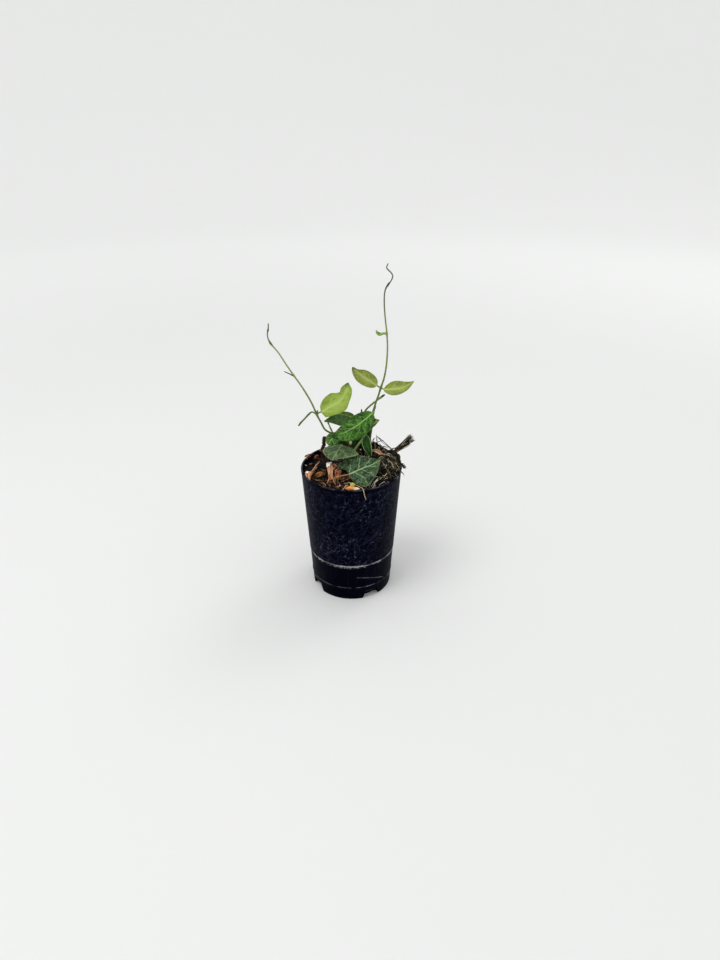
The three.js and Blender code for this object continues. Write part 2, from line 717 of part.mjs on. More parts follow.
const STEM_ROUTES = {
  right_vine: {
    route: [
      [13.6, 9.6, 88], [13.6, 9.6, 99], [13.5, 9.5, 108], [13.7, 8.6, 115.3], [14.2, 7.5, 122.7],
      [15.2, 6.5, 130.5], [16.3, 6, 143.1], [17.7, 6.5, 149.1], [19.6, 7, 154.7],
      [21.4, 8, 160.6], [23.2, 8.5, 166.2], [24.6, 9, 172.9], [25.5, 9.5, 182.3],
      [25.6, 9.5, 191.7], [25, 9, 200], [23.9, 8.5, 208.9], [22.9, 7.8, 219],
      [22.9, 7, 228.2], [23.9, 7, 231.7], [25.9, 7, 234.5], [27.5, 7, 237.2],
      [28, 7, 239.4], [27, 7, 241.3], [25.2, 7, 243], [23.9, 7, 244.6], [24.8, 7, 247.2],
    ],
    radii: [0.95, 0.4],
    nodes: [[13.6, 9.2, 111.5], [16.3, 6, 143.1], [21.4, 8, 160.6], [25, 9, 200], [24.4, 7, 232.6]],
  },
  left_vine: {
    route: [
      [1.2, 12.4, 88], [1.2, 12.4, 99], [0.6, 11.8, 107], [-2.2, 9, 115.2], [-6, 5, 122.4],
      [-10.4, 0, 128.2], [-14.8, -4.2, 131], [-18.6, -6.6, 134.8], [-21.2, -7.5, 140.8],
      [-23.4, -7.5, 145.4], [-27.2, -7, 155], [-30.7, -6.5, 161.8], [-35, -5.5, 168.8],
      [-39, -5, 174.8], [-43.9, -4, 182.3], [-48.9, -3, 190.4], [-53.9, -2, 196.7],
      [-55.5, -1.5, 200.2], [-55.7, -1, 203.2], [-55.2, 0, 205.4], [-54.9, 1, 209.7],
    ],
    radii: [0.95, 0.42],
    nodes: [[-6, 5, 122.4], [-24, -7.4, 146.8], [-39, -5, 174.8], [-53.9, -2, 196.7]],
  },
  crossing_stem: {
    route: [
      [4.2, 18.4, 88], [4.2, 18.4, 98], [4.6, 18, 106], [5.4, 17, 116.4], [6.5, 16, 126.1],
      [8.4, 15, 134.3], [10.9, 14, 140.8], [14.6, 13.5, 145], [18.4, 13, 148.5],
      [21.1, 12.5, 150.9], [23.6, 12, 153],
    ],
    radii: [0.9, 0.62],
    nodes: [[6.4, 16, 125.6], [21.6, 12.4, 151.4]],
  },
  thin_stem: {
    route: [
      [-6.4, 17.4, 88], [-6.4, 17.4, 98], [-7, 17, 105], [-10, 16.2, 113.5],
      [-13.4, 15.5, 120.6], [-15.4, 15, 125], [-17, 14.6, 129.6],
    ],
    radii: [0.75, 0.5],
    nodes: [[-15.4, 15, 125]],
  },
};

const STEMS = Object.fromEntries(
  Object.entries(STEM_ROUTES).map(([name, sizes]) => [name, new Stem(sizes)]),
);

// Buds, stubs and the bare twig that grow from the stems, with their roots sunk in.
const BUDS = {
  right_vine: [
    { route: [[24.2, 7, 232.6], [25, 6.8, 233.6], [26.2, 6.7, 235.4]], radii: [0.5, 0.7, 0.35] },
    { route: [[16.4, 6.2, 143], [17.6, 7.6, 145.2], [18, 8, 147]], radii: [0.4, 0.45, 0.3] },
  ],
  left_vine: [
    { route: [[-39, -5, 174.4], [-41.4, -5.8, 175.6], [-43.4, -6.4, 177]], radii: [0.5, 0.45, 0.35] },
    { route: [[-53.6, -2, 196.4], [-54.6, -2.8, 198.2], [-55, -3.2, 199.6]], radii: [0.5, 0.6, 0.3] },
    { route: [[-55.6, -0.6, 204], [-55.2, 0.1, 205.6], [-55.1, 0.3, 206.6]], radii: [0.6, 0.8, 0.4] },
    { route: [[-24, -7.4, 147], [-23.4, -8.6, 149.4], [-23.2, -9, 150.8]], radii: [0.5, 0.6, 0.35] },
  ],
  crossing_stem: [
    { route: [[21.4, 12.5, 151.2], [23.2, 12, 152.8], [24.6, 11.8, 153.9]], radii: [0.6, 0.85, 0.5] },
    { route: [[7.2, 15.8, 130], [7.8, 16.8, 135.6], [7.6, 17, 140.4]], radii: [0.6, 0.9, 0.4] },
  ],
  thin_stem: [
    { route: [[-16.8, 14.6, 129], [-17.2, 14.5, 130.2], [-17.4, 14.4, 131.2]], radii: [0.5, 0.7, 0.4] },
  ],
};

function buildStem(name) {
  const buds = BUDS[name].map(({ route, radii }) => toSolid(rod(route, radii, 5, 4)));
  return joinAll([toSolid(STEMS[name].geometry()), ...buds]);
}

// ---------------------------------------------------------------- leaves of this plant

const LEAVES = [
  {
    name: 'leaf_light', colour: 'lightLeaf', stem: 'left_vine',
    stalk: [[-24, -7.4, 146.8], [-22.2, -7, 148]],
    midrib: [
      [-21.3, -6.6, 148.2], [-14.2, -5.6, 152.3], [-8.6, -4.8, 155.4], [-5.2, -4, 159.3],
      [-2.8, -3.2, 164.2], [-1.5, -2, 168.6],
    ],
    width: 16.6, face: [0.05, -0.9, 0.42], full: [0.62, 0.55], taper: [0.8, 0.8], cup: 0.12, wave: 0.8,
    waves: 1.4, pinch: [[0.42, 0.7], [0.22, 0.66]], sides: [0.95, 0.98],
  },
  {
    name: 'leaf_edge_on', colour: 'greenLeaf', stem: 'left_vine', grid: SMALL,
    stalk: [[-24, -7.4, 146.8], [-26.6, -9.8, 149.6]],
    midrib: [[-27.6, -11.6, 150.2], [-31.6, -15.4, 147.6], [-36.4, -20.4, 143.8]],
    width: 10, face: [-0.67, 0.22, 0.62], full: [0.6, 0.6], taper: [1, 1], cup: 0.06, wave: 0.3,
  },
  {
    name: 'leaf_olive_left', colour: 'oliveLeaf', stem: 'right_vine',
    stalk: [[21.4, 8, 160.6], [19.6, 6.4, 162.2]],
    midrib: [[18.7, 5.6, 163.2], [13.6, 3.4, 167.6], [7.2, 1.6, 172.6], [1.2, 0, 179.2]],
    width: 10.6, face: [0.1, -0.9, 0.42], full: [0.6, 0.62], taper: [0.65, 0.9], cup: 0.1, wave: 0.5,
    pinch: [[0, 0.7], [0.45, 0.87]],
  },
  {
    name: 'leaf_olive_right', colour: 'oliveLeaf', stem: 'right_vine',
    stalk: [[21.4, 8, 160.6], [22.6, 7, 160.4]],
    midrib: [[23.1, 6.6, 160.3], [30.2, 4, 161.2], [37.4, 2, 163.7], [44.6, 1, 168.5]],
    width: 10.4, face: [0, -0.85, 0.52], full: [0.9, 0.7], taper: [1.4, 1.05], cup: 0.1, wave: 0.5, phase: 1,
    sides: [1.08, 0.88],
  },
  {
    name: 'leaf_rolled', colour: 'lightLeaf', stem: 'right_vine', grid: SMALL,
    stalk: [[25, 9, 200], [22.8, 7.8, 200.4]],
    midrib: [[21.8, 7.2, 200.4], [19.7, 5.6, 200.2], [18.2, 4.2, 201.8], [17.7, 3, 204]],
    width: 3.4, face: [0.2, -0.3, 0.9], faceTip: [0.9, 0.2, 0.3], full: [0.5, 0.5], taper: [0.7, 0.7],
    cup: 0.5, stalkRadius: 0.4,
  },
  {
    name: 'leaf_main', colour: 'greenLeaf', stem: 'right_vine',
    stalk: [[16.3, 6, 143.1], [16.4, 4, 143.8]],
    midrib: [
      [16, 3, 143.8], [10.8, -2, 141], [3.7, -6, 137], [-4.4, -9.2, 133.6], [-13.6, -11.2, 130.6],
    ],
    width: 19, face: [0.12, -0.84, 0.52], full: [0.62, 0.62], taper: [0.8, 0.8], cup: -0.1, wave: 0.9,
    waves: 1.6, sides: [0.94, 0.76],
  },
  {
    name: 'leaf_round', colour: 'greenLeaf', stem: 'left_vine', grid: SMALL,
    stalk: [[-8.6, 2, 126.6], [-9, -1, 126.2]],
    midrib: [[-9.4, -2, 126.4], [-13.2, -5.4, 127], [-16.6, -8.8, 123.6]],
    width: 11, face: [-0.3, -0.75, 0.6], full: [0.45, 0.45], taper: [0.6, 0.6], cup: -0.3, wave: 0.4,
    stalkRadius: 0.45,
  },
  {
    name: 'leaf_dark', colour: 'darkLeaf', stem: 'crossing_stem',
    stalk: [[6.4, 16, 125.6], [4, 12, 129]],
    midrib: [[2.4, 9.4, 130.4], [-3.7, 6, 135], [-10.9, 3, 137.6], [-19.6, 0, 138.1]],
    width: 12.6, face: [0.1, -0.4, 0.9], full: [0.5, 0.5], taper: [0.95, 0.95], cup: 0.12, wave: 0.6,
  },
  {
    name: 'leaf_behind', colour: 'oliveLeaf', stem: 'crossing_stem',
    stalk: [[6.4, 16, 125.6], [4.4, 19, 127.6]],
    midrib: [[3, 19.8, 128.4], [-2.4, 20.4, 130.6], [-8.2, 19.6, 132], [-14.6, 18, 131.8]],
    width: 10.4, face: [0.1, -0.9, 0.42], full: [0.5, 0.5], taper: [0.9, 0.9], cup: 0.08, wave: 0.5, phase: 2,
  },
  {
    name: 'leaf_small_right', colour: 'oliveLeaf', stem: 'right_vine', grid: SMALL,
    stalk: [[15.2, 6.5, 129], [14.4, 4.6, 129.6]],
    midrib: [[13.9, 3.6, 131.2], [16.8, 1.6, 135.4], [20.6, -0.4, 139]],
    width: 4.6, face: [0.1, -0.9, 0.3], full: [0.55, 0.8], taper: [0.9, 1.2], cup: 0.1, stalkRadius: 0.45,
    sides: [1.1, 0.6],
  },
  {
    name: 'leaf_under', colour: 'greenLeaf', stem: 'right_vine', grid: SMALL,
    stalk: [[13.6, 9.1, 111.5], [11.4, 11.8, 113.8]],
    midrib: [[10, 13.2, 114.8], [3.4, 13.8, 117.2], [-4, 13.4, 117.8], [-11, 12.4, 116.2]],
    width: 13, face: [0, -1, 0.2], full: [0.5, 0.5], taper: [0.7, 0.7], cup: 0.08, wave: 0.4,
  },
  {
    name: 'leaf_hanging', colour: 'darkLeaf',
    stalk: [
      [0.2, 5.6, 90], [0.2, 5.6, 99], [0.8, 5.2, 107], [3, 4, 113.6], [6.3, 2.6, 119.4],
      [9.6, 1.2, 125],
    ],
    midrib: [[10.8, 0.4, 126.6], [11.2, -1.6, 122.6], [12, -3.2, 117.4], [13.8, -4.4, 111.6]],
    width: 6.4, face: [-0.6, -0.8, 0.1], full: [0.5, 0.5], taper: [0.85, 0.85], cup: 0.25, stalkRadius: 0.8,
  },
  {
    name: 'leaf_grey', colour: 'greyLeaf', stem: 'left_vine',
    stalk: [[-2.2, 9, 115.2], [-4.8, 6.6, 116.4]],
    midrib: [[-6.6, 4.6, 116.8], [-8.6, -2, 117.2], [-11, -9, 116.2], [-13.4, -15.6, 114.4]],
    width: 26.6, face: [-0.13, -0.2, 0.97], full: [0.52, 0.52], taper: [0.85, 0.85], cup: -0.08, wave: 0.7,
    lobe: [1, 1], sides: [1.22, 0.94], corner: [0.85, 0.48],
  },
  {
    name: 'leaf_front', colour: 'darkLeaf',
    stalk: [[-9.6, -18.6, 92], [-9.6, -18.6, 99], [-8.4, -19.4, 103], [-4.6, -20.4, 104.8]],
    midrib: [
      [-1.6, -20.5, 105.6], [3.7, -19.9, 107.9], [9.4, -19.3, 110.4], [14.8, -18.3, 112.2],
      [21.2, -16.4, 115.1],
    ],
    width: 28, face: [-0.1, -0.4, 0.91], faceTip: [-0.1, -0.56, 0.83], full: [0.42, 0.42], taper: [1, 1],
    cup: -0.08, wave: 0.9, waves: 1.3, lobe: [12, -3], sides: [1, 1.04],
  },
];

function buildLeaf(options) {
  const stem = options.stem ? STEMS[options.stem] : null;
  return toSolid(leaf({ ...options, stem }));
}

// ---------------------------------------------------------------- the plant, piece by piece

const TWIG = [[-22.8, 25, 92], [-22.8, 25, 101], [-22, 25, 107], [-20.8, 25, 114]];
const HANGING_ROOT = [
  [-2.6, -21.4, 97.6], [-1.8, -23, 100.2], [1.8, -27, 101.4], [5.6, -31.4, 102], [7.6, -34.4, 102.7],
  [8.6, -36.8, 102.9], [9.2, -38.3, 101.4], [9.8, -38.7, 98.6], [10.9, -38.9, 95.4],
];

const SOCKETS = [
  ...Object.values(STEM_ROUTES).map(({ route, radii }) => socket(route[0], radii[0])),
  ...LEAVES.filter(({ stem }) => !stem).map((piece) => socket(piece.stalk[0], piece.stalkRadius ?? PETIOLE)),
  socket(TWIG[0], 1.3),
];

const FINISH = {
  pot: { roughness: 0.45 },
  lightLeaf: { roughness: 0.4 },
};

const plant = new THREE.Group();
plant.name = 'potted_dischidia';

function place(name, solid, colour) {
  const finish = FINISH[colour] ?? { roughness: 0.7 };
  const material = new THREE.MeshStandardMaterial({ color: COLOUR[colour], metalness: 0, ...finish });
  const mesh = new THREE.Mesh(toGeometry(solid), material);
  mesh.name = name;
  plant.add(mesh);
}

const stems = Object.fromEntries(Object.keys(STEM_ROUTES).map((name) => [name, buildStem(name)]));
const leaves = LEAVES.map((piece) => ({ ...piece, solid: buildLeaf(piece) }));
const groundLevel = joinAll([toSolid(mixBody(GAP + SLACK, 1.4)), ...crumbs(2 * GAP)]);
const grownPot = toSolid(turned(potSection(GAP)));
const hangingRoot = toSolid(rod(HANGING_ROOT, [0.4, 0.4], 5, 18));

place('pot', buildPot(), 'pot');
place('potting_mix', buildMix(SOCKETS), 'mix');
const beds = LITTER.filter(({ onMound }) => onMound).map(chipBed);
place('fibre_mound', buildFibre([groundLevel, grownPot, ...SOCKETS, ...beds]), 'fibre');
LITTER.forEach((piece) => place(piece.name, buildLitter(piece, [groundLevel, grownPot]), piece.colour));
place('dry_twig', toSolid(rod(TWIG, [1.2, 1.3, 1.3, 1.5], 6, 8)), 'twig');
place('hanging_root', largestPart(hangingRoot.subtract(groundLevel)), 'root');
Object.entries(stems).forEach(([name, solid]) => place(name, solid, 'stem'));
leaves.forEach(({ name, solid, colour }) => place(name, solid, colour));

export default plant;
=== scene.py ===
# %% [markdown]
# # A young Dischidia vine in its nursery tube
#
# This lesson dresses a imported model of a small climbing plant. The plant stands in a tall black
# plastic tube, in dark potting mix with bark chips, and a mound of moss and fine roots covers
# the right half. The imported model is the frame: it says where each piece is and how large.
# Every cell below makes one piece or one finish round it.

# %% Load the frame
import bisect
import math
import random

import bmesh
import bpy
from mathutils import Matrix, Vector, noise


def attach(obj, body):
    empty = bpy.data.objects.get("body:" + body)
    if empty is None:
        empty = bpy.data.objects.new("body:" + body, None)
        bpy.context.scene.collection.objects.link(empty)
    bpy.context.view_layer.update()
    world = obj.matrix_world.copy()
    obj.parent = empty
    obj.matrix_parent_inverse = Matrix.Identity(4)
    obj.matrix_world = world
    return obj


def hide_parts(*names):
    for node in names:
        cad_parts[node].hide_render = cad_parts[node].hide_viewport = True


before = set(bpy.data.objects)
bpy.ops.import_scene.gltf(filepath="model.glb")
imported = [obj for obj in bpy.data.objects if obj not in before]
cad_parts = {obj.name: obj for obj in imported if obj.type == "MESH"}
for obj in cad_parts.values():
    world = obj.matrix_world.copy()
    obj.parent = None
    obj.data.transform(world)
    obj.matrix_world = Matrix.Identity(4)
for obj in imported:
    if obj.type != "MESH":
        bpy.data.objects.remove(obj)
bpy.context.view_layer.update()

MM = 0.001  # every size below is in millimetres, and Blender works in metres


def lerp(a, b, share):
    """a at a share of 0, and b at 1."""
    return a + (b - a) * share


def smooth(low, high, x):
    """0 at low, 1 at high, and a soft step between them. Low may be the larger one."""
    share = min(max((x - low) / (high - low), 0), 1)
    return share * share * (3 - 2 * share)


def colour(red, green, blue):
    """A screen colour of 0 to 255, as the linear colour that a shader takes."""
    def linear(level):
        level /= 255
        return level / 12.92 if level < 0.04045 else ((level + 0.055) / 1.055) ** 2.4
    return (linear(red), linear(green), linear(blue), 1)


# %% [markdown]
# ## The view, the floor and the light
#
# The camera stands a little above the plant and looks down on it by about 29 degrees, as someone
# does who looks at a pot on a table. A wide phone-like lens takes in a lot of room round the plant.
# The floor could be a plane, but then its far edge shows as a line. A shallow bowl, turned
# from one bent profile, has no edge in any direction, so the plant can be seen from all sides.

# %% The camera
CAMERA_PLACE = (6.53, -446.6, 341.9)
CAMERA_PITCH = 60.521  # degrees between straight down and the line of sight
LENS = 25.45
SENSOR = 36  # along the long side of the image

camera = bpy.data.objects.new("viewpoint", bpy.data.cameras.new("viewpoint"))
camera.data.lens = LENS
camera.data.sensor_width = SENSOR
camera.location = Vector(CAMERA_PLACE) * MM
camera.rotation_euler = (math.radians(CAMERA_PITCH), 0, 0)
bpy.context.scene.collection.objects.link(camera)
bpy.context.scene.camera = camera
bpy.context.scene.view_settings.view_transform = "Standard"
print("the camera looks down by", round(90 - CAMERA_PITCH, 1), "degrees")


# %% [markdown]
# ## Finishes as Python sums
#
# A finish is a tree of shader nodes. Wiring it by hand takes many lines, so two small classes help.
# `Value` wraps an output, and adds a Math node for each sum that is written on it. `Finish` holds
# a material, and its one `node` method makes every other node.

# %% Values
class Value:
    """An output of a shader node that can be used in sums, as a number can."""

    def __init__(self, finish, socket):
        self.finish = finish
        self.socket = socket

    def math(self, operation, *numbers):
        """A Math node on numbers and values, in their order."""
        return self.finish.node("ShaderNodeMath", {"operation": operation}, dict(enumerate(numbers)))

    def __add__(self, other):
        return self.math("ADD", self, other)

    def __sub__(self, other):
        return self.math("SUBTRACT", self, other)

    def __rsub__(self, other):
        return self.math("SUBTRACT", other, self)

    def __mul__(self, other):
        return self.math("MULTIPLY", self, other)

    def __truediv__(self, other):
        return self.math("DIVIDE", self, other)

    def __abs__(self):
        return self.math("ABSOLUTE", self)

    __radd__ = __add__
    __rmul__ = __mul__

    def most(self, other):
        """The larger of two values, point by point."""
        return self.math("MAXIMUM", self, other)

    def part(self):
        """What follows the point of a number, as a value that climbs and falls back."""
        return self.math("FRACT", self)

    def step(self, low, high):
        """0 at low, 1 at high, and a soft step between them. Low may be the larger one."""
        ends = {"Value": self, "From Min": low, "From Max": high}
        return self.finish.node("ShaderNodeMapRange", {"interpolation_type": "SMOOTHSTEP"}, ends)


# %% Finishes
NOISE_ROUGHNESS = 0.55


class Finish:
    """A material, and the tools that its patterns are made with."""

    def __init__(self, name, constants):
        self.material = bpy.data.materials.new(name)
        self.material.use_nodes = True
        self.tree = self.material.node_tree
        self.shader = self.tree.nodes["Principled BSDF"]
        for socket, value in constants.items():
            self.shader.inputs[socket].default_value = value
        metres = self.node("ShaderNodeTexCoord", output="Object")
        self.place = self.node("ShaderNodeVectorMath", {"operation": "SCALE"}, {0: metres, "Scale": 1 / MM})

    def node(self, kind, settings={}, values={}, output=0):
        """Any shader node: its settings come first, then what goes into its sockets."""
        made = self.tree.nodes.new(kind)
        for name, setting in settings.items():
            if name == "stops":
                self.set_stops(made.color_ramp.elements, setting)
            else:
                setattr(made, name, setting)
        for socket, value in values.items():
            self.feed(made.inputs[socket], value)
        return Value(self, made.outputs[output])

    def feed(self, socket, value):
        """Links a value to a socket, or sets a plain number or colour on it."""
        if isinstance(value, Value):
            self.tree.links.new(value.socket, socket)
        else:
            socket.default_value = value

    def set_stops(self, elements, stops):
        while len(elements) < len(stops):
            elements.new(0.5)
        for element, (position, shade) in zip(elements, stops):
            element.position = position
            element.color = shade

    def surface(self, **values):
        """Links values to the shader's sockets, whose names are written with _ for a space."""
        for name, value in values.items():
            self.feed(self.shader.inputs[name.replace("_", " ").title()], value)

    def mark(self, name, output="Fac"):
        """A number or a direction that the mesh carries at each of its points."""
        return self.node("ShaderNodeAttribute", {"attribute_name": name}, output=output)

    def mix(self, share, first, second):
        """The first colour at a share of 0, and the second at 1."""
        return self.node("ShaderNodeMix", {"data_type": "RGBA"}, {0: share, 6: first, 7: second}, 2)

    def noise(self, size, detail=3, place=None):
        """Soft lumps about `size` millimetres across, from 0 to 1."""
        return self.node("ShaderNodeTexNoise", {}, {
            "Vector": place or self.place, "Scale": 1 / size, "Detail": detail, "Roughness": NOISE_ROUGHNESS,
        })

    def drift(self, scale):
        """A direction that wanders from place to place, to bend a pattern with."""
        return self.node("ShaderNodeTexNoise", {}, {"Vector": self.place, "Scale": scale}, "Color")

    def cells(self, size, place):
        """How far a point lies from the net between cells that are about `size` millimetres across."""
        values = {"Vector": place, "Scale": 1 / size}
        return self.node("ShaderNodeTexVoronoi", {"feature": "DISTANCE_TO_EDGE"}, values)

    def ramp(self, share, stops):
        """Picks a colour by a value. Each stop is a position and its colour."""
        return self.node("ShaderNodeValToRGB", {"stops": stops}, {0: share})

    def stretch(self, x, y, z):
        """The place, with each direction drawn out by a factor."""
        values = {0: self.place, 1: (1 / x, 1 / y, 1 / z)}
        return self.node("ShaderNodeVectorMath", {"operation": "MULTIPLY"}, values)

    def axis(self, name):
        """How far a point lies along X, Y or Z, in millimetres."""
        return self.node("ShaderNodeSeparateXYZ", {}, {0: self.place}, name)

    def bump(self, height, depth):
        """Relief: `height` runs from 0 to 1 over `depth` millimetres."""
        self.surface(normal=self.node("ShaderNodeBump", {}, {"Height": height, "Distance": depth * MM}))


print("values and finishes are ready")

# %% The floor
BLACK = (0, 0, 0, 1)
WHITE = (1, 1, 1, 1)
FLOOR_REACH = 1700
BEND = 900  # radius of the bend from the floor up into the wall
BEND_STEPS = 16
FLOOR_STEPS = 96
WALL_TOP = 1500
FLOOR_COLOUR = colour(226, 227, 226)
WALL_GLOW = 0.13  # the wall faces away from the sky, so it glows a little to stay as pale as the floor
GLOW_FROM = 0.3 * FLOOR_REACH
GLOW_FULL = 0.9 * FLOOR_REACH


def settle(bm, name):
    """Turns a finished bmesh into an object with smooth faces."""
    mesh = bpy.data.meshes.new(name)
    bm.to_mesh(mesh)
    bm.free()
    mesh.shade_smooth()
    made = bpy.data.objects.new(name, mesh)
    bpy.context.scene.collection.objects.link(made)
    return made


def build_floor():
    """A straight line and a quarter bend with a wall above it, spun once round the axis."""
    bm = bmesh.new()
    centre = bm.verts.new((0, 0, 0))
    edge = bm.verts.new((FLOOR_REACH * MM, 0, 0))
    bm.edges.new((centre, edge))
    pivot = (FLOOR_REACH * MM, 0, BEND * MM)
    bend = bmesh.ops.spin(
        bm, geom=[edge], cent=pivot, axis=(0, -1, 0), dvec=(0, 0, 0),
        angle=math.pi / 2, steps=BEND_STEPS,
    )
    tip = [part for part in bend["geom_last"] if isinstance(part, bmesh.types.BMVert)]
    top = bmesh.ops.extrude_vert_indiv(bm, verts=tip)["verts"]
    bmesh.ops.translate(bm, verts=top, vec=(0, 0, (WALL_TOP - BEND) * MM))
    bmesh.ops.spin(
        bm, geom=bm.verts[:] + bm.edges[:], cent=(0, 0, 0), axis=(0, 0, 1), dvec=(0, 0, 0),
        angle=2 * math.pi, steps=FLOOR_STEPS, use_merge=True,
    )
    bmesh.ops.remove_doubles(bm, verts=bm.verts, dist=MM)
    bmesh.ops.recalc_face_normals(bm, faces=bm.faces)
    return settle(bm, "floor")


floor = build_floor()
floor_finish = Finish("floor_paint", {
    "Base Color": FLOOR_COLOUR, "Roughness": 0.9, "Specular IOR Level": 0.1, "Emission Strength": WALL_GLOW,
})
distance = floor_finish.node(
    "ShaderNodeVectorMath", {"operation": "LENGTH"}, {0: floor_finish.place}, "Value",
)
glow = floor_finish.mix(distance.step(GLOW_FROM, GLOW_FULL), BLACK, WHITE)
floor_finish.surface(emission_color=glow)
floor.data.materials.append(floor_finish.material)
print("the floor has", len(floor.data.polygons), "faces")

# %% The light
SKY_STRENGTH = 0.82
SOFTBOXES = {
    "key_softbox": {"place": (-700, -500, 1500), "size": 900, "power": 9},
    "back_softbox": {"place": (900, 900, 1300), "size": 800, "power": 4},
}

sky = bpy.data.worlds.new("sky")
sky.use_nodes = True
sky.node_tree.nodes["Background"].inputs["Color"].default_value = WHITE
sky.node_tree.nodes["Background"].inputs["Strength"].default_value = SKY_STRENGTH
bpy.context.scene.world = sky

for box_name, box in SOFTBOXES.items():
    light = bpy.data.lights.new(box_name, "AREA")
    light.shape = "DISK"
    light.size = box["size"] * MM
    light.energy = box["power"]
    lamp = bpy.data.objects.new(box_name, light)
    lamp.location = Vector(box["place"]) * MM
    lamp.rotation_euler = lamp.location.to_track_quat("Z", "Y").to_euler()
    bpy.context.scene.collection.objects.link(lamp)
print("the sky and", len(SOFTBOXES), "softboxes light the plant")


# %% A finished piece
def finish_piece(made, finish, slot, replaced, crease):
    """Gives a piece its finish, edges that look sharp past `crease` degrees, and its place in the frame."""
    made.data.materials.append(finish.material)
    made.data.set_sharp_from_angle(angle=math.radians(crease))
    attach(made, "root")
    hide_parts(*replaced)
    made.data.calc_loop_triangles()
    print(f"{made.name}: {len(made.data.loop_triangles)} triangles")


def apply_modifiers(made):
    """Makes what a piece's modifiers show its own mesh."""
    graph = bpy.context.evaluated_depsgraph_get()
    mesh = bpy.data.meshes.new_from_object(made.evaluated_get(graph))
    made.modifiers.clear()
    old = made.data
    made.data = mesh
    bpy.data.meshes.remove(old)


# %% [markdown]
# ## The nursery tube
#
# The real pot is moulded in one piece of black polypropylene. Its wall has a leathery grain above
# a small step, and is smooth below it. Its foot has four drain notches, and a shallow ring hollow
# lies under its floor. A turned shape is a profile spun round the axis, so one line of points
# makes the whole pot, and a Boolean cuts the notches, because they cross the turned faces.

# %% The tube's profile
POT = {
    "height": 101.7, "rim": 37.5, "foot": 30.8, "wall": 1.2, "floor": 2.0,
    "recess": 0.8, "recess_inner": 10, "recess_outer": 26,
    "ring_height": 32.6, "ring_step": 0.2, "foot_line": 11.6,
}
NOTCH = {"width": 14.7, "top": 10.4, "height": 7, "below": 1, "turn": -60, "depth": 8}
NOTCH_COUNT = 4
POT_STEPS = 160
LINE_RISE = 0.26  # how far the moulding line near the foot stands out


def wall_radius(z):
    """The outside of the pot, which steps in a little below the ring."""
    straight = lerp(POT["foot"] + POT["ring_step"], POT["rim"], z / POT["height"])
    return straight - POT["ring_step"] * (1 - smooth(POT["ring_height"] - 0.5, POT["ring_height"], z))


def inner_radius(z):
    """The inside of the pot, which has no step."""
    return lerp(POT["foot"], POT["rim"], z / POT["height"]) - POT["wall"]


def pot_profile():
    """The pot's section, from the axis out under the floor, up the wall and back down inside."""
    ring, line, top = POT["ring_height"], POT["foot_line"], POT["height"]
    foot, outer, inner = wall_radius(0), wall_radius(top), inner_radius(top)
    recess, near, far = POT["recess"], POT["recess_inner"], POT["recess_outer"]
    points = [(0, 0), (near, 0), (near + 1, recess), (far - 1, recess), (far, 0)]  # the underside
    points += [(foot - 0.6, 0), (foot - 0.12, 0.22), (foot, 0.7)]  # the rounded edge of the foot
    points += [(wall_radius(z), z) for z in (4, 8, line - 1.2)]
    for rise in (-0.8, -0.4, 0, 0.4, 0.8):  # the moulding line
        z = line + rise
        points.append((wall_radius(z) + LINE_RISE * (1 - abs(rise)) ** 0.5, z))
    points += [(wall_radius(z), z) for z in (16, 24, ring - 1.2, ring - 0.5)]
    points += [(wall_radius(ring) + 0.05, ring), (wall_radius(ring + 0.5), ring + 0.5)]  # the step ring
    points += [(wall_radius(z), z) for z in (40, 56, 72, 88, top - 3.2)]
    points += [(outer - 0.1, top - 2.6), (outer + 0.02, top - 2.3), (outer + 0.04, top - 0.5)]  # the rim
    points += [(outer - 0.12, top - 0.15), (outer - 0.42, top)]
    points += [(inner + 0.32, top), (inner + 0.06, top - 0.15), (inner, top - 0.5)]
    points += [(inner_radius(z), z) for z in (96, 90, 60, 30, POT["floor"] + 1)]
    points += [(inner_radius(POT["floor"]) - 1, POT["floor"]), (0, POT["floor"])]
    return points


print("the tube's inner radius at its rim is", round(inner_radius(POT["height"]), 1), "mm")

# %% Spin the tube and cut its drain notches
def chain(bm, points):
    """A line of edges through points of radius and height."""
    dots = [bm.verts.new((r * MM, 0, z * MM)) for r, z in points]
    for first, second in zip(dots, dots[1:]):
        bm.edges.new((first, second))


def turn_profile(points, steps):
    """The closed body that a profile makes when it is spun once round the axis."""
    bm = bmesh.new()
    chain(bm, points)
    bmesh.ops.spin(
        bm, geom=bm.verts[:] + bm.edges[:], cent=(0, 0, 0), axis=(0, 0, 1), dvec=(0, 0, 0),
        angle=2 * math.pi, steps=steps, use_merge=True,
    )
    bmesh.ops.remove_doubles(bm, verts=bm.verts, dist=0.001 * MM)
    bmesh.ops.recalc_face_normals(bm, faces=bm.faces)
    return bm


def notch_cutters():
    """Wedges that stand where the drain notches are, and reach below the standing face."""
    bm = bmesh.new()
    for k in range(NOTCH_COUNT):
        block = bmesh.ops.create_cube(bm, size=1)["verts"]
        for dot in block:
            upper = dot.co.z > 0
            dot.co.x *= NOTCH["top" if upper else "width"] * MM
            dot.co.y = (-POT["recess_outer"] - NOTCH["depth"] * (0.5 - dot.co.y)) * MM
            dot.co.z = (NOTCH["height"] if upper else -NOTCH["below"]) * MM
        turn = Matrix.Rotation(math.radians(NOTCH["turn"] + 360 / NOTCH_COUNT * k), 3, "Z")
        bmesh.ops.rotate(bm, verts=block, cent=(0, 0, 0), matrix=turn)
    bmesh.ops.recalc_face_normals(bm, faces=bm.faces)
    return settle(bm, "notch_cutters")


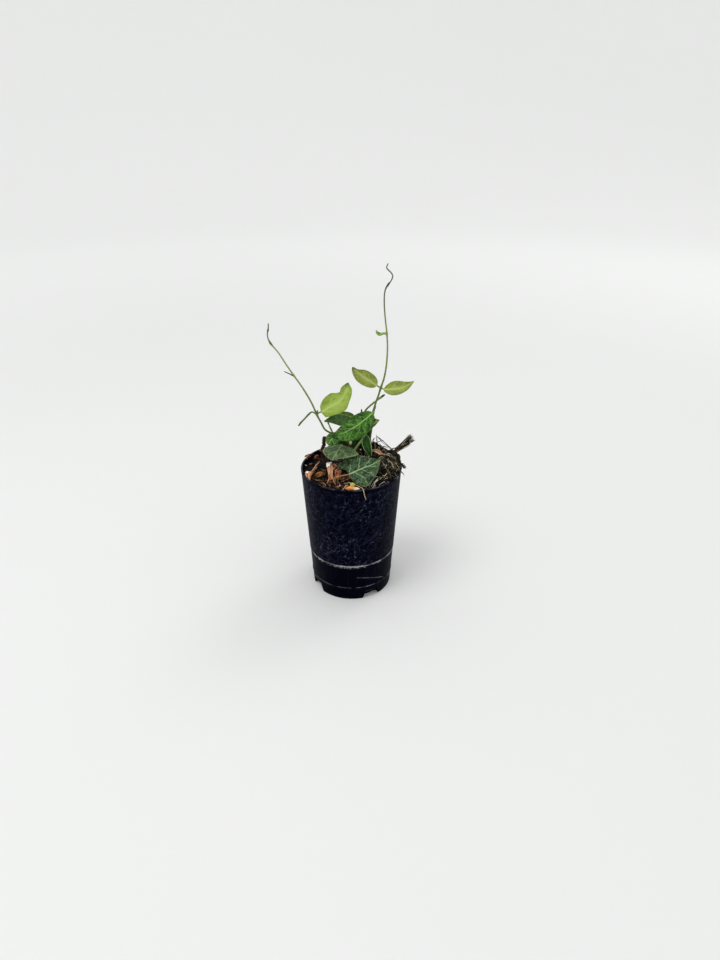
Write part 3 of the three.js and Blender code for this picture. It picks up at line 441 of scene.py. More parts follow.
pot = settle(turn_profile(pot_profile(), POT_STEPS), "fine_pot")
cutters = notch_cutters()
cut = pot.modifiers.new("drain_notches", "BOOLEAN")
cut.operation = "DIFFERENCE"
cut.solver = "EXACT"
cut.object = cutters
apply_modifiers(pot)
bpy.data.objects.remove(cutters)
print("the tube has", len(pot.data.polygons), "faces and", NOTCH_COUNT, "notches")


# %% [markdown]
# ## The tube's plastic
#
# Black plastic throws back so little light that only its relief and its marks can be read. The
# crease lines are relief with a painted highlight on them, and painted glints lie among them.
# Painted highlights also run along the rim's top edge and along the moulding line near the foot,
# brightest at the right. A pale line is painted along the step ring, and there is dust and one long
# scratch. Each is a mask from 0 to 1, made of noise and of the place on the wall. A painted
# picture of the wear would need a seam, and a mask in millimetres fits the wall as it is.

# %% Masks for the crease lines, the ring line, the painted foot-line highlight and the scratch
SCRATCH = {"height": 21.8, "fall": 0.0128, "from": (3, 6), "to": (25, 23)}
CREASE_DRIFT = 5  # how far the creases wander


def wrinkles(finish, size):
    """Short thin lines that wander and meet like the crease lines of leather."""
    bent = finish.node("ShaderNodeVectorMath", {"operation": "MULTIPLY_ADD"}, {
        0: finish.drift(0.3), 1: (CREASE_DRIFT, CREASE_DRIFT, CREASE_DRIFT), 2: finish.place,
    })
    return finish.cells(size, bent).step(0.09, 0.02) * finish.noise(0.6 * size, 1).step(0.38, 0.54)


def pale_ring_line(finish, height):
    """A pale line painted along the step ring, and broken pale marks just below it."""
    ring = POT["ring_height"]
    patchy = finish.noise(9, 4)
    band = 1 - abs(height - ring - 0.1 + 1.8 * (finish.noise(1.3, 3) - 0.5)).step(0.4, 0.8)
    below = height.step(ring - 2.6, ring - 0.3) * height.step(ring + 0.6, ring + 0.1)
    broken = patchy.step(0.46, 0.56) * finish.noise(1.5, 3).step(0.46, 0.58)
    return (band * (0.3 + 0.7 * patchy.step(0.42, 0.54))).most(below * broken)


def foot_line_highlight(finish, height, sideways):
    """A painted highlight along the moulding line near the foot, brightest at the right."""
    line = 1 - abs(height - POT["foot_line"]).step(0.1, 0.6)
    return line * finish.noise(8, 3).step(0.4, 0.6) * (0.35 + 0.65 * sideways.step(2, 12))


def long_scratch(finish, height, sideways):
    """A thin scratch at the front, which falls away towards the right."""
    line = abs(height - SCRATCH["height"] + SCRATCH["fall"] * sideways * sideways).step(0.4, 0.15)
    line = line * sideways.step(*SCRATCH["from"]) * sideways.step(*SCRATCH["to"])
    return line * finish.axis("Y").step(0, -1) * finish.noise(2, 3).step(0.3, 0.6)


print("the scratch falls by", round(SCRATCH["fall"] * SCRATCH["to"][0] ** 2), "mm")


# %% Black moulded plastic
def pot_finish():
    """Nearly black plastic with crease lines, painted highlights and glints, a painted pale ring line, dust
    and a scratch laid over it one after another.
    """
    finish = Finish("black_moulded_plastic", {
        "Specular IOR Level": 0.015, "Specular Tint": colour(170, 175, 255),
    })
    height, sideways = finish.axis("Z"), finish.axis("X")
    ring, top = POT["ring_height"], POT["height"]
    grained = height.step(ring - 0.3, ring + 0.6) * height.step(top - 2.3, top - 2.9)
    wander = finish.noise(26, 2)
    # a pale line painted along the step ring
    ring_line = pale_ring_line(finish, height)
    # a painted highlight along the rim's top edge
    lip_highlight = height.step(top - 0.7, top - 0.1) * finish.noise(5, 3).step(0.35, 0.65)
    streaks = finish.noise(1, 3, finish.stretch(2.2, 2.2, 60)).step(0.55, 0.8) * (1 - grained)
    dust = finish.noise(2.4, 5).step(0.58, 0.8) * wander
    # the crease lines are real relief in the bump, and their paler colour is a painted highlight
    creases_and_highlights = wrinkles(finish, 5.4).most(0.6 * wrinkles(finish, 3.8)) * grained
    # painted highlights: small glints of light among the crease lines
    painted_glints = creases_and_highlights * finish.noise(2, 2).step(0.5, 0.66) * wander.step(0.46, 0.62)
    # the crease, glint, lip and foot-line colours are painted highlights and the ring's is a painted pale
    # line; dust and the scratch are the plastic's own marks
    layers = [  # a mask, how much of it shows, and its colour
        (streaks, 0.3, colour(34, 37, 56)),
        (creases_and_highlights, 0.56, colour(34, 38, 64)),
        (painted_glints, 0.4, colour(104, 108, 130)),
        (dust, 0.14, colour(52, 54, 72)),
        (ring_line, 0.9, colour(168, 166, 172)),
        (foot_line_highlight(finish, height, sideways), 0.8, colour(140, 142, 150)),
        (long_scratch(finish, height, sideways), 0.8, colour(124, 126, 134)),
        (lip_highlight, 0.5, colour(84, 88, 106)),
    ]
    base = finish.mix(wander, colour(0, 1, 7), colour(3, 4, 16))
    for mask, share, shade in layers:
        base = finish.mix(mask * share, base, shade)
    finish.surface(base_color=base)
    finish.surface(roughness=0.3 + 0.22 * finish.noise(9, 3) + 0.2 * ring_line + 0.12 * dust)
    finish.bump(0.6 * creases_and_highlights + 0.4 * finish.noise(1.5, 3) * grained + 0.12 * streaks, 0.6)
    return finish


finish_piece(pot, pot_finish(), "pot", ["pot"], crease=25)


# %% [markdown]
# ## Curves with a length
#
# Stems, stalks, roots, fibres and bark splinters are all a section carried along a curve. Blender's
# own curve objects could do that, but the plant's curves have to pass through the frame's points
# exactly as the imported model's do, and their radius changes all the way. So a small `Route`
# class measures a smooth curve, and `skin` rolls a grid round it into a closed tube.

# %% Routes
class Route:
    """A smooth curve through points, walked by the share of its length."""

    SPAN_STEPS = 20

    def __init__(self, points):
        points = [Vector(p) for p in points]
        ends = [2 * points[0] - points[1], *points, 2 * points[-1] - points[-2]]
        self.dots = [points[0]]
        for four in zip(ends, ends[1:], ends[2:], ends[3:]):
            self.dots += self.span(*four)
        self.lengths = [0]
        for first, second in zip(self.dots, self.dots[1:]):
            self.lengths.append(self.lengths[-1] + (second - first).length)
        self.length = self.lengths[-1]

    def span(self, before, start, end, after):
        """The dots from start to end, with gaps between points weighed by their square root."""
        gaps = [max((b - a).length, 1e-6) ** 0.5 for a, b in ((before, start), (start, end), (end, after))]
        leave = (start - before) / gaps[0] - (end - before) / (gaps[0] + gaps[1]) + (end - start) / gaps[1]
        reach = (end - start) / gaps[1] - (after - start) / (gaps[1] + gaps[2]) + (after - end) / gaps[2]
        leave *= gaps[1]
        reach *= gaps[1]
        square = 3 * (end - start) - 2 * leave - reach
        cube = 2 * (start - end) + leave + reach
        shares = [(k + 1) / self.SPAN_STEPS for k in range(self.SPAN_STEPS)]
        return [start + leave * t + square * t * t + cube * t * t * t for t in shares]

    def point(self, share):
        """The place at a share of the length."""
        length = min(max(share, 0), 1) * self.length
        k = min(max(bisect.bisect_right(self.lengths, length), 1), len(self.dots) - 1)
        step = self.lengths[k] - self.lengths[k - 1]
        return self.dots[k - 1].lerp(self.dots[k], (length - self.lengths[k - 1]) / max(step, 1e-9))

    def tangent(self, share):
        """The direction of the curve, taken from a little before the place to a little past it."""
        reach = 0.002
        return (self.point(share + reach) - self.point(share - reach)).normalized()

    def nearest(self, point):
        """Share of the length at which the curve passes closest to a point."""
        goal = Vector(point)
        closest = min(range(len(self.dots)), key=lambda k: (self.dots[k] - goal).length)
        return self.lengths[closest] / self.length

    def frames(self, steps):
        """Centre, tangent and two directions across at each step, turning as little as they can."""
        shares = [k / steps for k in range(steps + 1)]
        tangents = [self.tangent(share) for share in shares]
        sizes = [abs(v) for v in tangents[0]]
        axis = Vector([0, 0, 0])
        axis[max(range(3), key=lambda k: (-sizes[k], k))] = 1
        normal = tangents[0].cross(tangents[0].cross(axis).normalized())
        made = []
        for k, share in enumerate(shares):
            if k:
                normal.rotate(tangents[k - 1].rotation_difference(tangents[k]))
            made.append((self.point(share), tangents[k], normal.copy(), tangents[k].cross(normal)))
        return made


print("a route with one right angle is", round(Route([(0, 0, 0), (3, 0, 0), (3, 4, 0)]).length, 1), "mm long")

# %% Skins
SEAM = 0.002  # points closer than this are joined


def skin(bm, place, around, along, marks=()):
    """Rolls a grid into a closed tube. place(u, w) gives a point in millimetres, and then its marks."""
    layers = [bm.verts.layers.float.get(name) or bm.verts.layers.float.new(name) for name in marks]
    grid = bmesh.ops.create_grid(bm, x_segments=around, y_segments=along, size=0.5)
    for dot in grid["verts"]:
        point, *values = place(dot.co.x + 0.5, dot.co.y + 0.5)
        dot.co = point * MM
        for layer, value in zip(layers, values):
            dot[layer] = value


def close_skins(bm):
    """Joins each rolled grid along its seam and at its ends."""
    bmesh.ops.remove_doubles(bm, verts=bm.verts, dist=SEAM * MM)
    bmesh.ops.recalc_face_normals(bm, faces=bm.faces)


def along_list(values, share):
    """A value between the ones in a list that is spread evenly from 0 to 1."""
    place = min(max(share, 0), 1) * (len(values) - 1)
    low = min(int(place), len(values) - 2)
    return lerp(values[low], values[low + 1], place - low)


def pointed(thick, fall, middle=1):
    """A radius for a splinter: full along its middle, and falling off towards both ends."""
    return lambda share: thick * (middle - fall * abs(2 * share - 1) ** 3)


def tube(bm, route, radius, around, along, tint=0.0, rough=0.0):
    """A closed tube along a route. radius(share) is in millimetres, and tint goes to its finish."""
    frames = route.frames(along)

    def place(u, w):
        centre, _, normal, side = frames[round(w * along)]
        angle = 2 * math.pi * u
        reach = radius(w) if 0 < w < 1 else 0
        out = normal * math.cos(angle) + side * math.sin(angle)
        if rough:
            reach *= 1 + rough * noise.noise((centre + out * reach) * 0.9)
        return centre + out * reach, tint, w
    skin(bm, place, around, along, ("tint", "along"))


print("points within", SEAM, "mm of each other are joined")


# %% Many small pieces in one mesh
def pour(part, bm):
    """Empties one bmesh into another."""
    mesh = bpy.data.meshes.new("poured")
    part.to_mesh(mesh)
    part.free()
    bm.from_mesh(mesh)
    bpy.data.meshes.remove(mesh)


def scatter(bm, make, count, batch=20):
    """Calls make(part) `count` times. Each batch is a small bmesh, because every operator
    looks at the whole mesh that it works in, and one large mesh would take minutes."""
    for first in range(0, count, batch):
        part = bmesh.new()
        for _ in range(min(batch, count - first)):
            make(part)
        pour(part, bm)


print("routes, skins and batches are ready")

# %% [markdown]
# ## The potting mix
#
# Real mix is loose bark, fibre and crumbs. One body carries the shape, and hundreds of small broken
# chips lie on it. A texture alone would look painted on, because the chips cast small shadows.
# Each bit carries a tint of its own, and the finish makes dark bark, brown bark or pale straw of it.

# %% The relief of the mix
MIX = {
    "level": 97.6, "left_drop": 1.2, "heap": 5, "heap_place": (20, 2), "heap_size": (12, 19), "gap": 0.36,
}


def mix_height(x, y):
    """The mix falls a little to the left, and has a heap at the right and soft lumps."""
    across = ((x - MIX["heap_place"][0]) / MIX["heap_size"][0]) ** 2
    across += ((y - MIX["heap_place"][1]) / MIX["heap_size"][1]) ** 2
    lumps = 0.8 * math.sin(0.43 * x + 1.7 * math.sin(0.27 * y)) * math.cos(0.38 * y + 0.6)
    return MIX["level"] + MIX["left_drop"] * x / POT["rim"] + MIX["heap"] * math.exp(-across) + lumps


def build_mix_body(bm, rings=30, around=90):
    """The body of the mix: a turned plug that fills the tube, with a rough top."""
    top, floor_top = MIX["level"], POT["floor"] + 0.3
    reach = inner_radius(top - 2) - MIX["gap"]
    bottom = inner_radius(POT["floor"]) - MIX["gap"]
    profile = [(reach * k / rings, top) for k in range(rings + 1)]
    profile += [(bottom, floor_top + 2), (bottom - 2, floor_top), (0, floor_top)]
    body = turn_profile(profile, around)
    for dot in body.verts:
        if dot.co.z > (top - 1) * MM:
            x, y = dot.co.x / MM, dot.co.y / MM
            rough = 0.7 * noise.noise(Vector((x, y, 0)) * 0.5) + 0.35 * noise.noise(Vector((x, y, 5)) * 1.3)
            dot.co.z = (mix_height(x, y) + rough) * MM
    pour(body, bm)


print("the heap in the mix is", round(mix_height(*MIX["heap_place"]), 1), "mm up")

# %% Crumbs and chips
MIX_SEED = 41
MIX_CRUMBS = 1300
STANDING_ROOTS = 26
MIX_SPLINTERS = {  # how many, how long, how thick, and how pale
    "dark bark": (420, (2, 7), (0.2, 0.5), (0, 0.5)),
    "brown bark": (120, (2, 6), (0.2, 0.5), (0.5, 0.75)),
    "tan fibre": (100, (4, 11), (0.1, 0.24), (0.65, 0.95)),
    "pale straw": (60, (3, 9), (0.07, 0.14), (0.95, 1.2)),
}
LITTER = [  # loose bits at chosen places: centre, size, and how pale
    ((-20.6, 28.4, 102), (2.6, 1.1, 0.8), 0.74), ((-24.2, 25.4, 101.6), (2, 0.9, 0.6), 0.8),
    ((-17.8, 29, 103.4), (1.2, 0.8, 2.6), 1.1), ((-18.4, 30.4, 100.2), (1.7, 1, 0.7), 0.6),
    ((-34.2, 4.6, 99.4), (0.6, 0.4, 0.5), 1.1), ((-33, -4.8, 99.4), (0.5, 0.5, 0.5), 1.1),
    ((-1.1, 24.6, 106.4), (0.8, 0.6, 1.5), 0.95), ((7, 27, 101.4), (0.7, 0.5, 0.5), 1.0),
    ((8.8, 24, 101.4), (0.6, 0.4, 0.4), 1.0), ((-31, 8, 99), (1.4, 0.7, 0.5), 0.72),
    ((-26, 2, 98), (1.6, 0.8, 0.5), 0.3), ((-8, -24.6, 99), (0.6, 0.5, 0.4), 1.0),
]


def crumb(bm, centre, size, tint, chance, fine=1):
    """A broken bit: a small icosphere, pushed out of shape and laid down at random."""
    layer = bm.verts.layers.float.get("tint") or bm.verts.layers.float.new("tint")
    made = bmesh.ops.create_icosphere(bm, subdivisions=fine, radius=1)["verts"]
    for dot in made:
        dot[layer] = tint
        dot.co *= chance.uniform(0.7, 1.15)
    bmesh.ops.scale(bm, verts=made, vec=Vector(size) * MM)
    lean = Matrix.Rotation(chance.uniform(-0.5, 0.5), 3, "X")
    tilt = Matrix.Rotation(chance.uniform(-0.5, 0.5), 3, "Y")
    turn = Matrix.Rotation(chance.uniform(0, math.pi), 3, "Z")
    bmesh.ops.rotate(bm, verts=made, cent=(0, 0, 0), matrix=lean @ tilt @ turn)
    bmesh.ops.translate(bm, verts=made, vec=Vector(centre) * MM)


def mix_crumb(bm, chance):
    """A crumb that lies anywhere on the mix."""
    radius = (inner_radius(MIX["level"]) - 2) * chance.random() ** 0.5
    turn = chance.uniform(0, 2 * math.pi)
    x, y = radius * math.cos(turn), radius * math.sin(turn)
    long = chance.uniform(0.4, 1.5)
    size = (long, long * chance.uniform(0.4, 0.9), long * chance.uniform(0.3, 0.6))
    crumb(bm, (x, y, mix_height(x, y) + chance.uniform(-0.2, 0.6)), size, 0.8 * chance.random() ** 2, chance)


def mix_splinter(bm, chance, long, thick, tint):
    """A thin straight bit that lies on the mix, with one end a little raised."""
    radius = (inner_radius(MIX["level"]) - 3) * chance.random() ** 0.5
    turn, heading = chance.uniform(0, 2 * math.pi), chance.uniform(0, 2 * math.pi)
    x, y = radius * math.cos(turn), radius * math.sin(turn)
    tint *= 1 - 0.35 * smooth(-14, -20, x) * smooth(-12, -4, y)  # splinters towards the back left are darker
    climb = chance.uniform(0, 0.35) * long
    points = []
    for k in range(4):
        px = x + long * k / 3 * math.cos(heading) + chance.uniform(-0.05, 0.05) * long
        py = y + long * k / 3 * math.sin(heading) + chance.uniform(-0.05, 0.05) * long
        inside = min(1, (inner_radius(MIX["level"]) - 1.4) / math.hypot(px, py))
        px, py = px * inside, py * inside
        points.append((px, py, mix_height(px, py) + 0.3 + climb * k / 3))
    tube(bm, Route(points), pointed(thick, 0.6), 4, 7, tint, 0.5)


def standing_root(bm, chance):
    """One of the thin dark roots that stand between the feet of the stems."""
    x, y = chance.uniform(-3, 10), chance.uniform(8, 15)
    top = chance.uniform(103, 114)
    points = [(x, y, 97), (x + chance.uniform(-1, 1), y, 102), (x + chance.uniform(-2, 2), y - 1, top)]
    thick = chance.uniform(0.12, 0.3)
    tube(bm, Route(points), lambda share: thick * (1.1 - 0.6 * share), 4, 10, chance.random() ** 2)


print("loose bits at chosen places:", len(LITTER))


# %% Build the mix
def build_mix():
    """The body of the mix, with its crumbs, splinters, standing roots and loose bits."""
    bm = bmesh.new()
    build_mix_body(bm)
    chance = random.Random(MIX_SEED)
    scatter(bm, lambda part: mix_crumb(part, chance), MIX_CRUMBS)
    for count, length, thickness, tints in MIX_SPLINTERS.values():
        scatter(bm, lambda part: mix_splinter(
            part, chance, chance.uniform(*length), chance.uniform(*thickness), chance.uniform(*tints),
        ), count)
    scatter(bm, lambda part: standing_root(part, chance), STANDING_ROOTS)
    for place, size, tint in LITTER:
        crumb(bm, place, size, tint, chance, fine=2)
    close_skins(bm)
    return settle(bm, "fine_potting_mix")


def crumb_finish(name, stops, mottle=0.4):
    """A finish for loose bits: each bit's own tint picks its colour."""
    finish = Finish(name, {"Specular IOR Level": 0.2})
    tint = finish.mark("tint") + mottle * (finish.noise(1.4, 4) - 0.5)
    base = finish.ramp(tint, stops)
    finish.surface(base_color=base, roughness=0.62 + 0.3 * finish.noise(0.8, 2))
    finish.bump(finish.noise(0.7, 4), 0.35)
    return finish


mix_finish = crumb_finish("damp_bark_crumbs", [
    (0.0, colour(5, 4, 4)), (0.4, colour(22, 15, 12)), (0.64, colour(78, 46, 28)),
    (0.84, colour(156, 108, 72)), (1.0, colour(232, 210, 178)),
])
finish_piece(build_mix(), mix_finish, "mix", ["potting_mix"], crease=30)


# %% [markdown]
# ## The mound of moss and roots
#
# The right half of the mix is under a springy tangle of dark moss and fine roots. Hair curves would
# be the usual way, but a mesh of thin three-sided strands stays a mesh wherever the part goes.
# A lumpy core keeps light from falling through. A plain dome would look combed, so bulges, a small
# heap at the back, a stiff tuft and loose ends give the mound its outline.

# %% The mound's shape
FIBRE = {
    "centre": (23, 0), "reach": (17, 31), "wall_reach": 35.5,
    "bottom": 97.5, "edge": 101.2, "top": 108.2, "dome": 0.7,
}


def fibre_reach(angle):
    """How far the mound reaches from its centre: an oval, cut off by the wall."""
    ux, uy = math.cos(angle), math.sin(angle)
    cx, cy = FIBRE["centre"]
    oval = 1 / math.hypot(ux / FIBRE["reach"][0], uy / FIBRE["reach"][1])
    along = cx * ux + cy * uy
    wall = math.sqrt(along ** 2 + FIBRE["wall_reach"] ** 2 - cx ** 2 - cy ** 2) - along
    return min(oval, wall)


def fibre_top(x, y):
    """The height of the mound, or of the mix beside it."""
    dx, dy = x - FIBRE["centre"][0], y - FIBRE["centre"][1]
    share = math.hypot(dx, dy) / fibre_reach(math.atan2(dy, dx))
    if share > 1:
        return mix_height(x, y) + 0.5
    lump = 0.8 * math.sin(0.7 * x + 1) * math.cos(0.6 * y)
    dome = (1 - share * share) ** FIBRE["dome"]
    return FIBRE["edge"] + (FIBRE["top"] - FIBRE["edge"]) * dome + lump * (1 - share)


def build_fibre_core(bm, rings=18, around=72):
    """A turned disc of radius 1, whose points are then moved out to the mound's own shape."""
    profile = [(k / rings, 1) for k in range(rings + 1)] + [(0.9, 0), (0, 0)]
    core = turn_profile([(r / MM, z / MM) for r, z in profile], around)
    for dot in core.verts:
        share = math.hypot(dot.co.x, dot.co.y)
        angle = math.atan2(dot.co.y, dot.co.x)
        reach = fibre_reach(angle) * share * 0.97
        x = FIBRE["centre"][0] + reach * math.cos(angle)
        y = FIBRE["centre"][1] + reach * math.sin(angle)
        rough = 2.4 * noise.noise(Vector((x, y, 3)) * 0.3) + 0.8 * noise.noise(Vector((x, y, 9)) * 1.1)
        z = fibre_top(x, y) - 0.7 + rough if dot.co.z > 0.5 else FIBRE["bottom"]
        dot.co = Vector((x, y, z)) * MM
    pour(core, bm)


print("the mound reaches", round(fibre_reach(0), 1), "mm to the right of its centre")

# %% Where its tuft, loose ends and bulges lie
TUFT = [
    [[30, 11, 104], [35.5, 14.2, 109], [41, 15.6, 114.6], [45, 16, 119.4]],
    [[30, 11, 104], [35.3, 13.8, 108.6], [41, 14.6, 113.6], [46.6, 14.6, 118.6]],
    [[30, 11, 104], [35.6, 13.4, 108.4], [41.2, 13.4, 112.8], [47.6, 13.4, 117]],
    [[30, 11, 104], [35.2, 14, 109], [40.4, 14.2, 114.6], [43.8, 13.8, 120]],
    [[30, 11, 104], [35.4, 14.6, 108.8], [40.6, 16.4, 113.2], [45.4, 17.6, 117.6]],
]
LOOSE_ENDS = [
    [[30, 10, 104], [36, 12, 108.4], [41, 11.6, 111.6], [45, 11.2, 114.6]],
    [[29, -3, 104], [35, -4.5, 105.8], [38.4, -5, 104.4], [40.2, -6.4, 103.4]],
    [[28, -9, 103], [34, -12, 104.6], [37.6, -13, 103.4], [39.4, -13.4, 100.4]],
    [[26, -16, 102], [30.5, -21, 103.8], [33, -23.5, 103.2], [34.2, -24.6, 102.6]],
    [[20, -18, 101], [24, -25, 103.6], [26, -28, 103.2], [27.2, -29.8, 102.8]],
    [[21, 17, 106], [20, 18, 110], [19.4, 18.6, 114], [19.2, 19, 118]],
    [[19.4, 17.6, 117.6], [24.4, 15, 113.8], [29.6, 12.4, 110.4], [35, 9, 107]],
    [[18, 17, 107], [16.6, 19, 110.6], [17, 20.6, 113.6], [18.4, 21, 115.4]],
    [[15, 20, 107], [18, 19.4, 110], [21, 18.8, 112.4], [24.4, 18, 114]],
    [[16, 18, 107], [15.4, 19, 110.6], [14.4, 20, 113.4], [13.4, 20.6, 115]],
    [[20, 15, 106], [24, 16, 109.6], [28, 14.6, 109.6], [32, 12, 107.4]],
    [[27, 11, 106], [32, 13.6, 109], [37.6, 12.4, 110.6], [42.6, 11.6, 113.4]],
]
BULGES = [  # how many strands make each bulge of the mound, and the line that they follow
    (24, [[33, -2.6, 103.6], [37, -3.6, 104.4], [40.2, -4.4, 102.4]]),
    (44, [[27, 10.6, 107.6], [29.8, 9, 108.9], [32.4, 7, 108.6], [35, 4.6, 107], [36.4, 0, 104.4]]),
    (36, [[13, 21, 106.6], [15.6, 20.6, 109.6], [18.4, 20, 109.4], [22, 19, 107.6], [26, 17, 105]]),
]
BACK_HEAP = {
    "count": 90, "ridge": [[13.4, 21, 108.6], [15.6, 20.6, 111.6], [18.4, 20, 111.4], [25.6, 17.6, 106.6]],
}
MOUND_SEED = 77
MOUND_CRUMBS = 420
TUFT_FIBRES = 18  # along each line of the tuft
TUFT_RADII = [0.5, 0.44, 0.36, 0.14]
LOOSE_FIBRES = 3  # along each loose end
POT_CLEAR = 37.6  # strands keep inside this distance from the axis, above the rim
MOUND_STRANDS = {  # how many, how long, how far lifted, how thick, and how pale
    "matted moss": (1000, (3, 8), (0.1, 1.6), (0.16, 0.42), (-0.1, 0.46)),
    "brown root": (300, (3, 8), (0.5, 2), (0.12, 0.26), (0.35, 0.78)),
    "straw": (110, (4, 11), (0.9, 2.4), (0.07, 0.15), (0.74, 1.15)),
}
RIM_STRAWS = {"count": 60, "angles": (-70, 8), "reach": (31.5, 36), "furthest": 36.4}
print("lines of the tuft:", len(TUFT), "loose ends:", len(LOOSE_ENDS), "bulges:", len(BULGES))


# %% Strands, straws and crumbs
def shaken(route, reach, chance):
    """A copy of a route whose points have each moved a little."""
    return [[v + chance.uniform(-reach, reach) for v in point] for point in route]


def fibre_strand(bm, chance, lengths, lifts, thickness, tints):
    """A thin strand that runs over the mound, with both ends sunk in."""
    angle = chance.uniform(0, 2 * math.pi)
    start = fibre_reach(angle) * math.sqrt(chance.uniform(0.02, 0.92))
    x = FIBRE["centre"][0] + start * math.cos(angle)
    y = FIBRE["centre"][1] + start * math.sin(angle)
    flow = 2.2 * noise.noise(Vector((x, y, 20)) * 0.09) - 0.9 * smooth(-4, 8, y) + 0.7
    heading = flow + chance.gauss(0, 0.45) + math.pi * chance.randint(0, 1)
    length = chance.uniform(*lengths)
    bend = chance.uniform(-0.7, 0.7)
    points = []
    for k in range(4):
        turn = heading + bend * k / 3
        px = x + length * k / 3 * math.cos(turn)
        py = y + length * k / 3 * math.sin(turn)
        inside = min(1, POT_CLEAR / math.hypot(px, py))
        lift = -0.6 if k in (0, 3) else chance.uniform(*lifts)
        points.append([px * inside, py * inside, fibre_top(px * inside, py * inside) + lift])
    thick = chance.uniform(*thickness)
    tube(bm, Route(points), lambda share: thick, 3, 6, lerp(*tints, chance.random() ** 1.5))


def rim_straw(bm, chance):
    """A short straw that lies along the rim at the front right."""
    angle, reach = math.radians(chance.uniform(*RIM_STRAWS["angles"])), chance.uniform(*RIM_STRAWS["reach"])
    sweep, lean = chance.uniform(3, 8) / reach, chance.uniform(-1.6, 1.6)
    points = []
    for k in range(4):
        turn, out = angle + sweep * k / 3, min(RIM_STRAWS["furthest"], reach + lean * k / 3)
        x, y = out * math.cos(turn), out * math.sin(turn)
        points.append((x, y, fibre_top(x, y) + (chance.uniform(0.5, 1.5) if k in (1, 2) else 0)))
    thick = chance.uniform(0.12, 0.28)
    tube(bm, Route(points), lambda share: thick, 4, 8, chance.uniform(0.4, 1.1))


def leaning_strand(bm, chance, ridge):
    """A strand that leans from the heap at the back down to the mound in front of it."""
    share = chance.random()
    top = [v + chance.uniform(-0.9, 0.7) for v in ridge.point(share)]
    x, y = top[0] + chance.uniform(1, 7), top[1] - chance.uniform(2, 9)
    low = [x, y, fibre_top(x, y) - 0.6]
    middle = [(a + b) / 2 + chance.uniform(-0.5, 0.9) for a, b in zip(top, low)]
    thick = chance.uniform(0.16, 0.4)
    tube(bm, Route([top, middle, low]), lambda share: thick, 4, 6, 0.1 + 0.9 * chance.random() ** 1.6)


def tuft_fibre(bm, chance, line):
    """One of the stiff fibres of the tuft, thick where it leaves the mound."""
    size = chance.uniform(0.4, 0.95)
    bent = shaken(line, 1.2, chance)
    tint = 0.1 + 0.95 * chance.random() ** 2
    tube(bm, Route(bent), lambda share: size * along_list(TUFT_RADII, share), 4, 14, tint, 0.5)


def loose_fibre(bm, chance, line):
    """One of the fibres that stand off the mound together."""
    bent = shaken(line, 0.6, chance)
    thick = chance.uniform(0.14, 0.34)
    tube(bm, Route(bent), lambda share: thick * (1.1 - share * 0.7), 4, 12, chance.uniform(0.2, 0.8))


def bulge_strand(bm, chance, line):
    """One of the strands that make a bulge."""
    bent = shaken(line, 1.3, chance)
    tube(bm, Route(bent), lambda share: 0.45 * (1.2 - share), 4, 8, chance.uniform(0, 0.6))


def mound_crumb(bm, chance):
    """A crumb that has stuck to the mound."""
    angle = chance.uniform(0, 2 * math.pi)
    start = fibre_reach(angle) * math.sqrt(chance.random()) * 0.97
    x = FIBRE["centre"][0] + start * math.cos(angle)
    y = FIBRE["centre"][1] + start * math.sin(angle)
    long = chance.uniform(0.4, 1.3)
    place = (x, y, fibre_top(x, y) + chance.uniform(-0.5, 0.3))
    crumb(bm, place, (long, long * 0.6, long * 0.5), 0.7 * chance.random() ** 2, chance)


print("kinds of strand:", ", ".join(MOUND_STRANDS))


# %% Build the mound
def build_fibre():
    """The core of the mound, with every strand, straw, fibre and crumb on it."""
    bm = bmesh.new()
    build_fibre_core(bm)
    chance = random.Random(MOUND_SEED)
    for count, *kind in MOUND_STRANDS.values():
        scatter(bm, lambda part: fibre_strand(part, chance, *kind), count)
    scatter(bm, lambda part: rim_straw(part, chance), RIM_STRAWS["count"])
    for line in TUFT:
        for _ in range(TUFT_FIBRES):
            tuft_fibre(bm, chance, line)
    for line in LOOSE_ENDS:
        for _ in range(LOOSE_FIBRES):
            loose_fibre(bm, chance, line)
    for count, line in BULGES:
        for _ in range(count):
            bulge_strand(bm, chance, line)
    ridge = Route(BACK_HEAP["ridge"])
    scatter(bm, lambda part: leaning_strand(part, chance, ridge), BACK_HEAP["count"])
    scatter(bm, lambda part: mound_crumb(part, chance), MOUND_CRUMBS)
    close_skins(bm)
    return settle(bm, "fine_fibre_mound")


fibre_finish = crumb_finish("matted_moss_and_roots", [
    (0.0, colour(3, 3, 2)), (0.36, colour(13, 13, 8)), (0.58, colour(52, 44, 27)),
    (0.8, colour(138, 122, 84)), (1.0, colour(240, 232, 204)),
])
finish_piece(build_fibre(), fibre_finish, "fibre", ["fibre_mound"], crease=50)

# %% [markdown]
# ## Bark pieces
#
# The larger chips are split wood: long fibres along the piece, torn ends, and ridges where it broke.
# Each is a tube along a short bent line, flattened, and pushed in and out by noise that is
# stretched along the grain. Thin slivers lie along it and fray past its ends, as they do where
# bark is torn, and shoots are the larger splits. Noise along the same grain colours it, and two
# pieces are peeled white at one end.

